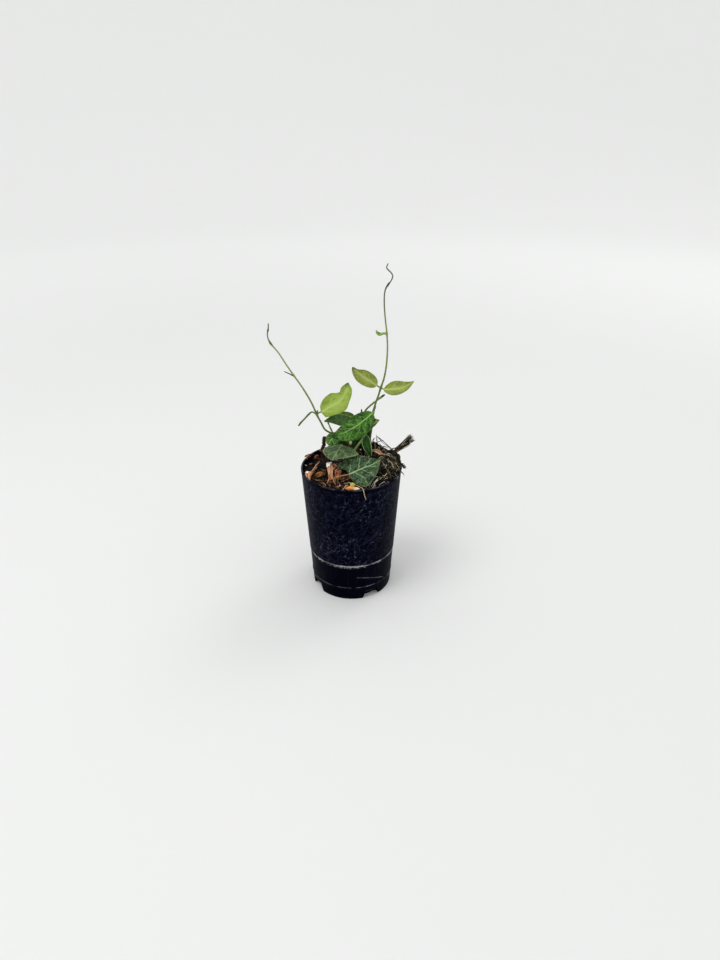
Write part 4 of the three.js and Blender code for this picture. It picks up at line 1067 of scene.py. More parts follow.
# %% The bark pieces and where they lie
BARK = {
    "bark_long_stick": {
        "route": [[-24.4, 15, 98], [-26.6, 4.6, 98.6], [-28.4, -5, 99.6]],
        "radii": [0.7, 0.9, 1, 1], "flat": 0.7, "finish": "tan",
    },
    "bark_split_end": {
        "route": [[-29.2, -10.2, 100.8], [-30.4, -14, 101.4], [-31, -17, 100.4], [-29.6, -20, 98.8]],
        "radii": [1.2, 2.1, 2.3, 1.7, 0.8], "flat": 0.85, "finish": "peach",
        "white": ((-32.6, -11.6, 102), 2.1), "slivers": {"from": (-0.6, 0.2)},
        "shoots": [
            ([[-25, 10, 99], [-27, 2, 99.8], [-28.6, -6, 100.8], [-30.2, -13, 101.6]], 0.5),
            ([[-25.6, 4, 98.8], [-27.8, -3, 99.6], [-29.4, -11, 101]], 0.4),
            ([[-29.6, -10, 101], [-32, -12, 101.8], [-32.6, -14.6, 101]], 1.3),
        ],
    },
    "bark_brown_lump": {
        "route": [[-27, -9.6, 98.6], [-23, -9.8, 100], [-18.6, -7.2, 100.6]],
        "radii": [1.1, 2, 1.7, 2, 1], "flat": 0.75, "finish": "ochre",
        "shoots": [([[-22.6, -9, 101], [-19, -8, 102], [-16.6, -7, 103.6]], 0.8)],
    },
    "bark_white_bulb": {
        "route": [[-15.4, -17.4, 97.4], [-15.2, -12.4, 101], [-15.6, -7.6, 104], [-16.4, -4.8, 105.6]],
        "radii": [0.6, 0.9, 1.5, 1.4, 2, 2.4, 1.4], "flat": 0.85, "finish": "peach",
        "white": ((-17.8, -5, 107.2), 3.7),
        "shoots": [
            ([[-15.4, -7.6, 103.4], [-16, -5.4, 105], [-16.6, -3.6, 106.2]], 2.1),
            ([[-15, -9, 102.6], [-13, -6.4, 104.8], [-11.8, -4.8, 105.6]], 1.1),
            ([[-13.6, -8.4, 102.6], [-11.4, -5.6, 104.4], [-10.2, -4.4, 104.6]], 0.6),
            ([[-15, -12, 101.6], [-16.2, -17.6, 99.8], [-17.2, -22, 98.8]], 0.3),
            ([[-14.4, -13, 101.2], [-12.8, -19, 100], [-11.4, -24, 99.2]], 0.24),
        ],
    },
    "bark_bulb_leg": {
        "route": [[-11, -20.4, 97.8], [-12, -16.4, 100.2], [-13, -13.4, 101]],
        "radii": [0.4, 0.6, 0.6], "flat": 0.9, "finish": "tan", "slivers": {"count": 5},
    },
    "bark_red_round": {
        "route": [[-10.4, -12, 97], [-9.6, -10.4, 100.8], [-8.8, -9, 104]],
        "radii": [1, 1.7, 2.3, 2.4, 1.3], "flat": 0.95, "finish": "red",
    },
    "bark_orange_bit": {
        "route": [[-12, -14.4, 98.6], [-9.8, -15.2, 100.4], [-7.4, -15.4, 100.2]],
        "radii": [0.8, 1.2, 1.3, 0.9], "flat": 0.8, "finish": "orange",
    },
    "bark_bit_left": {
        "route": [[-21.6, -20.4, 97.6], [-19.4, -23, 98.8], [-18, -26.4, 98.4]],
        "radii": [0.7, 1, 1.2, 0.8], "flat": 0.6, "finish": "brown", "slivers": {"size": (0.2, 0.4)},
    },
    "bark_bit_middle": {
        "route": [[-16.4, -22.6, 98.4], [-15, -26, 99.6], [-14.6, -29.6, 99.4]],
        "radii": [0.5, 0.7, 0.9, 0.6], "flat": 0.7, "finish": "brown", "slivers": {"size": (0.2, 0.36)},
    },
    "bark_bit_right": {
        "route": [[-12, -25.6, 98.2], [-10, -28.4, 99.4], [-8, -31, 99]],
        "radii": [0.5, 0.8, 0.9, 0.6], "flat": 0.7, "finish": "brown", "slivers": {"size": (0.2, 0.36)},
    },
    "bark_pale_stick": {
        "route": [[-6.6, -32.2, 98.6], [-4.4, -30.6, 100.6], [-2.4, -28.6, 102.2]],
        "radii": [0.25, 0.42, 0.3], "flat": 0.8, "finish": "pale", "slivers": {"count": 3},
    },
    "bark_rim_chip": {
        "route": [[-3.6, -35.4, 102.9], [1.2, -36.2, 103.1], [6, -35.6, 102.7]],
        "radii": [0.9, 1.5, 1.3, 1.1, 0.8], "flat": 0.42, "finish": "rim_chip",
    },
    "yellow_nodule": {
        "route": [[0.6, -31, 98.4], [1, -30.8, 101.4], [0.8, -30.2, 104.2]],
        "radii": [1.3, 1.9, 2.2, 1.4], "flat": 0.9, "finish": "nodule", "slivers": {"count": 2},
    },
    "bark_flat_left": {
        "route": [[-34.8, 10.2, 101.4], [-33.4, 14, 102.2], [-30.2, 17.8, 101.6]],
        "radii": [0.8, 1.3, 1.1, 1.3, 0.8], "flat": 0.35, "finish": "maroon",
        "shoots": [([[-36, 11.8, 102.6], [-33, 15.4, 103], [-28.4, 18, 101.8]], 0.5)],
    },
    "bark_flat_back": {
        "route": [[-29, 18.8, 97.6], [-27, 21, 98.9], [-25.6, 20.8, 98.4]],
        "radii": [0.8, 1.3, 0.8], "flat": 0.4, "finish": "maroon",
    },
    "bark_back_chunk": {
        "route": [[-9, 27, 97.4], [-4, 29.4, 99], [2, 29, 98.4]],
        "radii": [1.2, 2.4, 2.2, 1], "flat": 0.6, "finish": "brown",
    },
    "bark_tan_chip": {
        "route": [[16.6, 8.4, 110.4], [20, 5.4, 110.8], [23.4, 2.2, 110.2]],
        "radii": [0.7, 1.4, 1.2, 0.7], "flat": 0.6, "finish": "fawn",
        "shoots": [([[16, 9, 109.6], [19, 4.6, 110.6], [22, 1.6, 110]], 0.5)],
    },
    "bark_back_stick": {
        "route": [[-16, 21, 97.4], [-11, 22.6, 99], [-6.6, 21, 98.8]],
        "radii": [0.8, 1.2, 1.1, 0.7], "flat": 0.7, "finish": "brown",
    },
}
PALE_PIECES = ("bark_pale_stick", "bark_rim_chip", "bark_tan_chip")
print("pieces of bark and a nodule:", len(BARK))


# %% Split bark
PEELED = colour(254, 249, 240)


def bark_finish(name, dark, middle, pale, end=None):
    """Split wood, streaked along its grain. `end` is the colour of the last part of its length."""
    finish = Finish(name, {"Specular IOR Level": 0.2})
    grain = finish.mark("grain", "Vector")
    streaks = finish.noise(0.7, 4, grain)
    tone = streaks + 0.36 * (finish.mark("tint") - 0.5)
    base = finish.ramp(tone, [(0.34, dark), (0.48, middle), (0.64, pale)])
    if end:
        torn = (finish.mark("along") + 0.1 * (finish.noise(1.2, 3) - 0.5)).step(0.45, 0.8)
        base = finish.mix(torn, base, finish.ramp(streaks, [(0.2, middle), (0.38, end)]))
    peeled = (finish.mark("peeled") + 0.5 * (finish.noise(1.6, 3) - 0.5)).step(0.35, 0.6)
    base = finish.mix(peeled, base, PEELED)
    finish.surface(base_color=base, roughness=0.6 + 0.3 * streaks)
    finish.bump(streaks * 0.7 + finish.noise(0.5, 3) * 0.3, 0.5)
    return finish


BARK_SHADES = {  # name, then dark, middle and pale colours, and for one piece the colour of its end
    "tan": ("tan_bark", (44, 26, 16), (136, 92, 58), (206, 166, 124)),
    "brown": ("brown_bark", (22, 13, 9), (86, 54, 34), (164, 116, 80)),
    "ochre": ("ochre_bark", (42, 24, 8), (134, 86, 34), (196, 146, 84)),
    "red": ("red_bark", (54, 24, 18), (156, 86, 60), (218, 152, 118)),
    "orange": ("orange_bark", (84, 42, 20), (200, 126, 74), (240, 190, 142)),
    "peach": ("peach_bark", (84, 42, 22), (188, 118, 74), (240, 194, 156)),
    "maroon": ("maroon_bark", (34, 13, 12), (104, 48, 38), (196, 136, 108)),
    "fawn": ("fawn_bark", (110, 58, 30), (230, 166, 108), (252, 218, 178)),
    "pale": ("pale_wood", (110, 78, 52), (192, 156, 116), (232, 212, 178)),
    "rim_chip": ("two_tone_chip", (170, 84, 30), (236, 142, 70), (246, 176, 112), (250, 226, 186)),
    "nodule": ("yellow_green_skin", (132, 134, 50), (188, 192, 88), (222, 222, 142)),
}
BARK_FINISHES = {
    key: bark_finish(name, *[colour(*shade) for shade in shades])
    for key, (name, *shades) in BARK_SHADES.items()
}
print("finishes for bark:", len(BARK_FINISHES))


# %% Build the bark
SLIVERS = {"count": 12, "from": (-0.08, 0.35), "to": (0.6, 1.12), "size": (0.12, 0.26)}


def bark_body(bm, piece, route, seed, around=20, along=30):
    """A flattened tube with ridges along its grain and torn ends."""
    frames = route.frames(along)

    def place(u, w):
        centre, tangent, normal, side = frames[round(w * along)]
        angle = 2 * math.pi * u
        ring = Vector((math.cos(angle), math.sin(angle), 0))
        run = w * route.length
        ridges = noise.noise(Vector((ring.x * 2.2, ring.y * 2.2, run / 7 + seed * 7)))
        chips = noise.noise(Vector((ring.x * 1.4, ring.y * 1.4, run / 1.5 + seed * 3)))
        reach = along_list(piece["radii"], w) * (0.86 + 0.6 * ridges + 0.36 * chips)
        end = min(w, 1 - w)
        reach *= min(1, end / 0.14) ** 0.5
        out = normal * ring.x + side * ring.y * piece["flat"]
        torn = tangent * (1.1 * ridges * (1 - min(1, end / 0.1))) if 0 < w < 1 else Vector((0, 0, 0))
        return centre + out * reach + torn, 0.5, w
    skin(bm, place, around, along, ("tint", "along"))


def bark_slivers(bm, piece, route, chance):
    """Thin splits that lie along the piece and fray past its ends."""
    kind = {**SLIVERS, **piece.get("slivers", {})}
    frames = route.frames(10)
    thick = max(piece["radii"])
    for k in range(kind["count"]):
        angle = 2 * math.pi * (k + chance.uniform(-0.3, 0.3)) / kind["count"]
        first, last = chance.uniform(*kind["from"]), chance.uniform(*kind["to"])
        points = []
        for share in (first, lerp(first, last, 0.35), lerp(first, last, 0.7), last):
            inside = min(max(share, 0), 1)
            _, tangent, normal, side = frames[round(inside * 10)]
            out = normal * math.cos(angle) + side * math.sin(angle) * piece["flat"]
            reach = along_list(piece["radii"], share) * chance.uniform(0.55, 0.95)
            points.append(route.point(share) + tangent * (share - inside) * route.length + out * reach)
        size = thick * chance.uniform(*kind["size"])
        tube(bm, Route(points), pointed(size, 0.7), 5, 10, chance.random(), 0.6)
    for points, size in piece.get("shoots", []):
        tube(bm, Route(points), pointed(size, 0.7, 1.1), 7, 14, chance.random(), 0.9)


def mark_grain(bm, route, piece):
    """Marks each point with how far along the piece it lies, its place in the grain, and how peeled it is."""
    grain = bm.verts.layers.float_vector.new("grain")
    peeled = bm.verts.layers.float.new("peeled")
    along = bm.verts.layers.float["along"]
    centre, reach = piece.get("white", ((0, 0, 0), 1))
    for dot in bm.verts:
        dot[peeled] = max(0, 1.5 - (dot.co / MM - Vector(centre)).length / reach)
        local = dot.co / MM
        share = route.nearest(local)
        off = local - route.point(share)
        dot[grain] = Vector((off.x, off.y + off.z, share * route.length / 7))
        dot[along] = share


def build_bark(node, seed):
    """One piece of bark: its body, its slivers and shoots, and the marks for its finish."""
    piece = BARK[node]
    bm = bmesh.new()
    route = Route(piece["route"])
    bark_body(bm, piece, route, seed)
    bark_slivers(bm, piece, route, random.Random(seed))
    close_skins(bm)
    mark_grain(bm, route, piece)
    return settle(bm, "fine_" + node)


def bark_slot(node):
    """The slot name for a piece's material."""
    if node == "yellow_nodule":
        return "nodule"
    return "pale_bark" if node in PALE_PIECES else "bark"


for seed, (node, piece) in enumerate(BARK.items()):
    finish = BARK_FINISHES[piece["finish"]]
    finish_piece(build_bark(node, seed), finish, bark_slot(node), [node], crease=50)

# %% [markdown]
# ## The stems
#
# Dischidia climbs with thin round stems that swell at each joint, where leaves and buds sit. They
# are green where they are young and thick, and turn grey towards the tips. A tube along the
# frame's own route has the right shape, and its radius adds a soft bell at every joint. Buds, old
# shoots and a dead leaf stalk are short tubes in the same skin, and a tint picks their colour.

# %% Where the stems run
STEMS = {
    "right_vine": {
        "route": [
            [13.6, 9.6, 88], [13.6, 9.6, 99], [13.5, 9.5, 108], [13.7, 8.6, 115.3], [14.2, 7.5, 122.7],
            [15.2, 6.5, 130.5], [16.3, 6, 143.1], [17.7, 6.5, 149.1], [19.6, 7, 154.7],
            [21.4, 8, 160.6], [23.2, 8.5, 166.2], [24.6, 9, 172.9], [25.5, 9.5, 182.3],
            [25.6, 9.5, 191.7], [25, 9, 200], [23.9, 8.5, 208.9], [22.9, 7.8, 219],
            [22.9, 7, 228.2], [23.9, 7, 231.7], [25.9, 7, 234.5], [27.5, 7, 237.2],
            [28, 7, 239.4], [27, 7, 241.3], [25.2, 7, 243], [23.9, 7, 244.6], [24.8, 7, 247.2],
        ],
        "radii": [0.95, 0.4],
        "nodes": [[13.6, 9.2, 111.5], [16.3, 6, 143.1], [21.4, 8, 160.6], [25, 9, 200], [24.4, 7, 232.6]],
        "buds": [  # tint, radii and line of each
            (0.9, [0.5, 0.7, 0.35], [[24.2, 7, 232.6], [25, 6.8, 233.6], [26.2, 6.7, 235.4]]),
            (0.1, [0.4, 0.45, 0.3], [[16.4, 6.2, 143], [17.6, 7.6, 145.2], [18, 8, 147]]),
            # a near-black shoot that fills the dark strip beside the stem above its foot
            (1, [1, 1.5, 2.1, 1.2], [[12.4, 8.8, 103], [12.6, 8, 112], [12.6, 7.4, 121], [13.4, 7, 129]]),
            (1, [0.6, 0.9, 0.9, 0.4], [[10, 10, 99], [9.4, 10, 106], [8.4, 9, 113], [7.4, 8, 118]]),
            (0.7, [0.4, 0.7, 0.5], [[0.8, 5.6, 101], [0, 4.4, 112], [-0.4, 3.6, 118]]),
            (0.35, [0.6, 1.1, 0.6], [[-0.4, 3.6, 117.6], [-0.5, 3.2, 119.6], [-0.2, 3, 121.6]]),
        ],
    },
    "left_vine": {
        "route": [
            [1.2, 12.4, 88], [1.2, 12.4, 99], [0.6, 11.8, 107], [-2.2, 9, 115.2], [-6, 5, 122.4],
            [-10.4, 0, 128.2], [-14.8, -4.2, 131], [-18.6, -6.6, 134.8], [-21.2, -7.5, 140.8],
            [-23.4, -7.5, 145.4], [-27.2, -7, 155], [-30.7, -6.5, 161.8], [-35, -5.5, 168.8],
            [-39, -5, 174.8], [-43.9, -4, 182.3], [-48.9, -3, 190.4], [-53.9, -2, 196.7],
            [-55.5, -1.5, 200.2], [-55.7, -1, 203.2], [-55.2, 0, 205.4], [-54.9, 1, 209.7],
        ],
        "radii": [0.95, 0.42],
        "nodes": [[-6, 5, 122.4], [-24, -7.4, 146.8], [-39, -5, 174.8], [-53.9, -2, 196.7]],
        "buds": [  # tint, radii and line of each
            (0.6, [0.5, 0.36, 0.26], [[-39, -5, 174.4], [-42.2, -6, 176.6], [-45.6, -7, 178.6]]),
            (0.2, [0.5, 0.8, 0.4], [[-52.6, -2.6, 195], [-53.9, -2.6, 197], [-54.9, -2.4, 199]]),
            (0.1, [0.5, 0.6, 0.3], [[-53.6, -2, 196.4], [-54.6, -2.8, 198.2], [-55, -3.2, 199.6]]),
            (0.9, [0.5, 0.65, 0.36], [[-55.6, -0.6, 204], [-55.2, 0.1, 205.6], [-55.1, 0.3, 206.6]]),
            (0.2, [0.5, 0.6, 0.35], [[-24, -7.4, 147], [-23.4, -8.6, 149.4], [-23.2, -9, 150.8]]),
        ],
    },
    "crossing_stem": {
        "route": [
            [4.2, 18.4, 88], [4.2, 18.4, 98], [4.6, 18, 106], [5.4, 17, 116.4], [6.5, 16, 126.1],
            [8.4, 15, 134.3], [10.9, 14, 140.8], [14.6, 13.5, 145], [18.4, 13, 148.5],
            [21.1, 12.5, 150.9], [23.6, 12, 153],
        ],
        "radii": [0.9, 0.62],
        "nodes": [[6.4, 16, 125.6], [21.6, 12.4, 151.4]],
        "buds": [  # tint, radii and line of each
            (0.9, [0.6, 0.85, 0.5], [[21.4, 12.5, 151.2], [23.2, 12, 152.8], [24.6, 11.8, 153.9]]),
            (0.8, [0.6, 0.9, 0.4], [[7.2, 15.8, 130], [7.8, 16.8, 135.6], [7.6, 17, 140.4]]),
        ],
    },
    "thin_stem": {
        "route": [
            [-6.4, 17.4, 88], [-6.4, 17.4, 98], [-7, 17, 105], [-10, 16.2, 113.5],
            [-13.4, 15.5, 120.6], [-15.4, 15, 125], [-17, 14.6, 129.6],
        ],
        "radii": [0.75, 0.5],
        "nodes": [[-15.4, 15, 125]],
        "buds": [  # tint, radii and line of each
            (0.2, [0.5, 0.7, 0.4], [[-16.8, 14.6, 129], [-17.2, 14.5, 130.2], [-17.4, 14.4, 131.2]]),
        ],
    },
}
NODE = {"swelling": 0.42, "reach": 1.7}
stem_routes = {name: Route(stem["route"]) for name, stem in STEMS.items()}
print("the stems' lengths:", {name: round(route.length) for name, route in stem_routes.items()}, "mm")


# %% Grow the stems
def stem_radius(name, share):
    """A stem thins towards its tip, and swells at its joints."""
    route = stem_routes[name]
    plain = lerp(*STEMS[name]["radii"], share ** 0.8)
    marks = [route.nearest(point) for point in STEMS[name]["nodes"]]
    bells = [math.exp(-((share - mark) * route.length / NODE["reach"]) ** 2) for mark in marks]
    return plain * (1 + NODE["swelling"] * sum(bells))


def build_stem(name, step=0.7):
    """A stem with its buds. `step` is how far apart its rings lie."""
    bm = bmesh.new()
    route = stem_routes[name]
    tube(bm, route, lambda share: stem_radius(name, share), 12, round(route.length / step), 0.0, 0.1)
    for tint, radii, line in STEMS[name]["buds"]:
        tube(bm, Route(line), lambda share: along_list(radii, share), 10, 14, tint, 0.2)
    close_skins(bm)
    return settle(bm, "fine_" + name)


print("radius of the right vine at its foot:", round(stem_radius("right_vine", 0), 2), "mm")

# %% The skin of the stems
YOUNG_STEM = colour(92, 112, 38)
OLD_STEM = colour(136, 146, 84)
GREY_TIP = colour(92, 96, 78)
DARK_FLECK = colour(56, 70, 26)
OLD_FROM = {"right_vine": 0.36, "left_vine": 0.4, "crossing_stem": 0.7, "thin_stem": 0.1}
TIP_FROM = {"right_vine": 0.7, "left_vine": 0.84, "crossing_stem": 1.2, "thin_stem": 1.2}
BUD_COLOURS = [  # from which tint and by which tint a bud has a colour: straw, then brown, then black
    (0.25, 0.35, colour(214, 210, 160)),
    (0.4, 0.6, colour(62, 58, 40)),
    (0.94, 1.0, colour(9, 18, 8)),
]


def stem_finish(name):
    """Green skin that pales past one share of the stem's length and greys past another."""
    finish = Finish(name + "_skin", {
        "Specular IOR Level": 0.25, "Subsurface Weight": 0.05, "Subsurface Scale": 0.5 * MM,
    })
    along, bud = finish.mark("along"), finish.mark("tint")
    old_from, tip_from = OLD_FROM[name], TIP_FROM[name]
    age = (along + 0.2 * (finish.noise(6, 2) - 0.5)).step(old_from, old_from + 0.35)
    base = finish.mix(age * (1 - bud.step(0, 0.1)), YOUNG_STEM, OLD_STEM)
    base = finish.mix(along.step(tip_from, tip_from + 0.16), base, GREY_TIP)
    for low, high, shade in BUD_COLOURS:
        base = finish.mix(bud.step(low, high), base, shade)
    base = finish.mix(finish.noise(1.5, 3).step(0.5, 0.72) * 0.5, base, DARK_FLECK)
    finish.surface(base_color=base, roughness=0.42 + 0.2 * finish.noise(2, 2))
    finish.bump(finish.noise(0.8, 3), 0.15)
    return finish


for name in STEMS:
    finish_piece(build_stem(name), stem_finish(name), "stem", [name], crease=60)

# %% [markdown]
# ## The leaves
#
# A leaf is one skin: a round stalk that opens into a thin waved blade. Its outline is a formula of
# the share along the midrib, so each leaf is a few numbers. The blade is thickest at its middle
# and rounds off at the margin. The veins sink in and the fields between them bulge a little.
#
# `full` and `taper` say how bluntly each half opens and closes, and `cup` and `wave` lift its
# sides. `sides` widens a half, `lobe` draws its base back, `pinch` draws its outline in, `corner`
# turns the left half into a wedge, and `shape` gives a half's outline point by point.

# %% The leaves of this plant
PETIOLE = 0.55  # radius of a stalk
LEAVES = {
    "leaf_light": {
        "stem": "left_vine", "stalk": [[-24, -7.4, 146.8], [-22.2, -7, 148]],
        "midrib": [
            [-21.3, -6.6, 148.2], [-14.2, -5.6, 152.3], [-8.6, -4.8, 155.4], [-5.2, -4, 159.3],
            [-2.8, -3.2, 164.2], [-1.5, -2, 168.6],
        ],
        "width": 16.6, "face": [0.05, -0.9, 0.42], "full": (0.62, 0.55), "taper": (0.8, 0.8), "cup": 0.12,
        "wave": 0.8, "waves": 1.4, "pinch": ((0.42, 0.7), (0, 0.7)), "sides": (0.95, 0.98),
        "shape": (None, (0.6, 0.72, 0.84, 0.95, 0.95, 0.72, 0.61, 0.43, 0)),
    },
    "leaf_edge_on": {
        "stem": "left_vine", "stalk": [[-24, -7.4, 146.8], [-26.6, -9.8, 149.6]],
        "midrib": [[-27.6, -11.6, 150.2], [-31.6, -15.4, 147.6], [-36.4, -20.4, 143.8]],
        "width": 10, "face": [-0.67, 0.22, 0.62], "full": (0.6, 0.6), "taper": (1, 1), "cup": 0.06,
        "wave": 0.3,
    },
    "leaf_olive_left": {
        "stem": "right_vine", "stalk": [[21.4, 8, 160.6], [19.6, 6.4, 162.2]],
        "midrib": [[18.7, 5.6, 163.2], [13.6, 3.4, 167.6], [7.2, 1.6, 172.6], [1.2, 0, 179.2]],
        "width": 10.6, "face": [0.1, -0.9, 0.42], "full": (0.6, 0.62), "taper": (0.65, 0.9), "cup": 0.1,
        "wave": 0.5, "pinch": ((0, 0.7), (0.45, 0.87)),
    },
    "leaf_olive_right": {
        "stem": "right_vine", "stalk": [[21.4, 8, 160.6], [22.6, 7, 160.4]],
        "midrib": [[23.1, 6.6, 160.3], [30.2, 4, 161.2], [37.4, 2, 163.7], [44.6, 1, 168.5]],
        "width": 10.4, "face": [0, -0.85, 0.52], "full": (0.9, 0.7), "taper": (1.4, 1.05), "cup": 0.1,
        "wave": 0.5, "phase": 1, "sides": (1.08, 0.88),
    },
    "leaf_rolled": {
        "stem": "right_vine", "stalk": [[25, 9, 200], [22.8, 7.8, 200.4]],
        "midrib": [[21.8, 7.2, 200.4], [19.7, 5.6, 200.2], [18.2, 4.2, 201.8], [17.7, 3, 204]],
        "width": 3.4, "face": [0.2, -0.3, 0.9], "face_tip": [0.9, 0.2, 0.3], "full": (0.5, 0.5),
        "taper": (0.7, 0.7), "cup": 0.5, "stalk_radius": 0.8,
    },
    "leaf_main": {
        "stem": "right_vine", "stalk": [[16.3, 6, 143.1], [16.4, 4, 143.8]],
        "midrib": [
            [16, 3, 143.8], [10.8, -2, 141], [3.7, -6, 137], [-4.4, -9.2, 133.6], [-13.6, -11.2, 130.6],
        ],
        "width": 19, "face": [0.12, -0.84, 0.52], "full": (0.62, 0.62), "taper": (0.8, 0.8), "cup": -0.1,
        "wave": 0.9, "waves": 1.6, "sides": (0.94, 0.76),
    },
    "leaf_round": {
        "stem": "left_vine", "stalk": [[-8.6, 2, 126.6], [-9, -1, 126.2]],
        "midrib": [[-9.4, -2, 126.4], [-13.2, -5.4, 127], [-16.6, -8.8, 123.6]],
        "width": 11, "face": [-0.3, -0.75, 0.6], "full": (0.45, 0.45), "taper": (0.6, 0.6), "cup": -0.3,
        "wave": 0.4, "stalk_radius": 0.45,
    },
    "leaf_dark": {
        "stem": "crossing_stem", "stalk": [[6.4, 16, 125.6], [4, 12, 129]],
        "midrib": [[2.4, 9.4, 130.4], [-3.7, 6, 135], [-10.9, 3, 137.6], [-19.6, 0, 138.1]],
        "width": 12.6, "face": [0.1, -0.4, 0.9], "full": (0.5, 0.5), "taper": (0.95, 0.95), "cup": 0.12,
        "wave": 0.6,
    },
    "leaf_behind": {
        "stem": "crossing_stem", "stalk": [[6.4, 16, 125.6], [4.4, 19, 127.6]],
        "midrib": [[3, 19.8, 128.4], [-2.4, 20.4, 130.6], [-8.2, 19.6, 132], [-14.6, 18, 131.8]],
        "width": 10.4, "face": [0.1, -0.9, 0.42], "full": (0.5, 0.5), "taper": (0.9, 0.9), "cup": 0.08,
        "wave": 0.5, "phase": 2,
    },
    "leaf_small_right": {
        "stem": "right_vine", "stalk": [[15.2, 6.5, 129], [14.4, 4.6, 129.6]],
        "midrib": [[13.9, 3.6, 131.2], [16.8, 1.6, 135.4], [20.6, -0.4, 139]],
        "width": 6.4, "face": [0.1, -0.9, 0.3], "full": (0.4, 0.6), "taper": (0.8, 1.1), "cup": 0.1,
        "stalk_radius": 0.45, "sides": (1.7, 0.5),
    },
    "leaf_under": {
        "stem": "right_vine", "stalk": [[13.6, 9.1, 111.5], [11.4, 11.8, 113.8]],
        "midrib": [[10, 13.2, 114.8], [3.4, 13.8, 117.2], [-4, 13.4, 117.2], [-12.4, 12.4, 114.6]],
        "width": 14.6, "face": [0, -1, 0.2], "full": (0.5, 0.5), "taper": (0.7, 0.7), "cup": 0.08,
        "wave": 0.4,
    },
    "leaf_hanging": {
        "stalk": [
            [0.2, 5.6, 90], [0.2, 5.6, 99], [0.8, 5.2, 107], [3, 4, 113.6], [6.3, 2.6, 119.4],
            [9.6, 1.2, 125],
        ],
        "midrib": [[10.8, 0.4, 126.6], [11.6, -1.6, 122.6], [12.8, -3.2, 117.4], [14.9, -4.4, 111.6]],
        "width": 8.4, "face": [-0.6, -0.8, 0.1], "full": (0.5, 0.5), "taper": (0.85, 0.85), "cup": 0.25,
        "stalk_radius": 0.8,
    },
    "leaf_grey": {
        "stem": "left_vine", "stalk": [[-2.2, 9, 115.2], [-4.8, 6.6, 116.4]],
        "midrib": [[-6.6, 4.6, 116.8], [-8.6, -2, 117.2], [-11, -9, 116.2], [-13.4, -15.6, 114.4]],
        "width": 26.6, "face": [-0.13, -0.2, 0.97], "full": (0.52, 0.52), "taper": (0.85, 0.85), "cup": -0.08,
        "wave": 0.7, "lobe": (1, 1), "sides": (1.22, 0.94), "corner": (0.85, 0.48),
    },
    "leaf_front": {
        "stalk": [[-9.6, -18.6, 92], [-9.6, -18.6, 99], [-8.4, -19.4, 103], [-4.6, -20.4, 104.8]],
        "midrib": [
            [-1.6, -20.5, 105.6], [3.7, -19.9, 107.9], [9.4, -19.3, 110.4], [14.8, -18.3, 112.2],
            [21.2, -16.4, 115.1],
        ],
        "width": 28, "face": [-0.1, -0.4, 0.91], "face_tip": [-0.1, -0.56, 0.83], "full": (0.42, 0.42),
        "taper": (1, 1), "cup": -0.08, "wave": 0.9, "waves": 1.3, "lobe": (12, -3), "sides": (1, 1.04),
    },
}
PLAIN_LEAF = {
    "stem": None, "wave": 0, "waves": 1.5, "lobe": (0, 0), "phase": 0, "stalk_radius": PETIOLE,
    "sides": (1, 1), "corner": (0, 0.5), "pinch": ((0, 0.7), (0, 0.7)), "shape": (None, None),
}
print("leaves:", len(LEAVES))

# %% The outline of a leaf
BLADE = 0.6  # thickness at its middle
OPENING = 0.05  # share of the blade in which the round stalk opens into it
PINCH_LENGTH = 0.12  # share of the blade that a pinch takes


def side_veins(along, size, veins, lean):
    """How many side veins lie before a place. It works on numbers and on shader values alike."""
    return (along - lean * size * (1.3 - 0.5 * size)) * veins


def soft_list(values, share):
    """A smooth curve through evenly spaced values."""
    at = min(max(share, 0), 1) * (len(values) - 1)
    k = min(int(at), len(values) - 2)
    a, b, c, d = (values[min(max(k + j, 0), len(values) - 1)] for j in (-1, 0, 1, 2))
    t = at - k
    square, cube = 2 * a - 5 * b + 4 * c - d, 3 * b - a - 3 * c + d
    return 0.5 * (2 * b + (c - a) * t + square * t ** 2 + cube * t ** 3)


def side_reach(leaf, half, q):
    """How far one half reaches from the midrib at a share of its length, and a factor for the outline."""
    full, taper = leaf["full"][half], leaf["taper"][half]
    crest = full / (full + taper)
    share = (q ** full * (1 - q) ** taper) / (crest ** full * (1 - crest) ** taper) if 0 < q < 1 else 0
    if leaf["shape"][half]:
        share = soft_list(leaf["shape"][half], q)
    if half == 0:
        wedge = min(q / leaf["corner"][1], (1 - q) / (1 - leaf["corner"][1]))
        share = lerp(share, wedge, leaf["corner"][0])
    depth, where = leaf["pinch"][half]
    drawn = 1 - depth * math.exp(-((q - where) / PINCH_LENGTH) ** 2)
    return 0.5 * leaf["width"] * share, leaf["sides"][half] * drawn


half_width = side_reach({**PLAIN_LEAF, **LEAVES["leaf_light"]}, 0, 0.5)[0]
print("half the width of leaf_light at its middle:", round(half_width, 1), "mm")

# %% Grow a leaf
STALK_STEP = 1.2  # how far apart the rings of a stalk lie
CROWDING = 1.35  # above 1, the rings of a blade lie closer together at its base
CLOSING = 0.05  # share of the blade in which its tip closes
EDGE = 0.6  # below 1, the blade keeps its thickness further out
BASE = 0.1  # share of the blade in which its relief rises
MIDRIB = {"reach": 0.9, "furrow": 0.22, "rib": 0.42}  # sunk in above, and standing out below
LAST_TANGENT = 0.9985  # share of the route whose direction the tip keeps


def leaf_route(leaf):
    """The stalk and the midrib as one route, and the share of it at which the blade starts."""
    points = [*leaf["stalk"], *leaf["midrib"]]
    if leaf["stem"]:
        route = stem_routes[leaf["stem"]]
        points[0] = route.point(route.nearest(points[0]))
    route = Route(points)
    start = route.lengths[(len(points) - len(leaf["midrib"])) * Route.SPAN_STEPS] / route.length
    return route, start


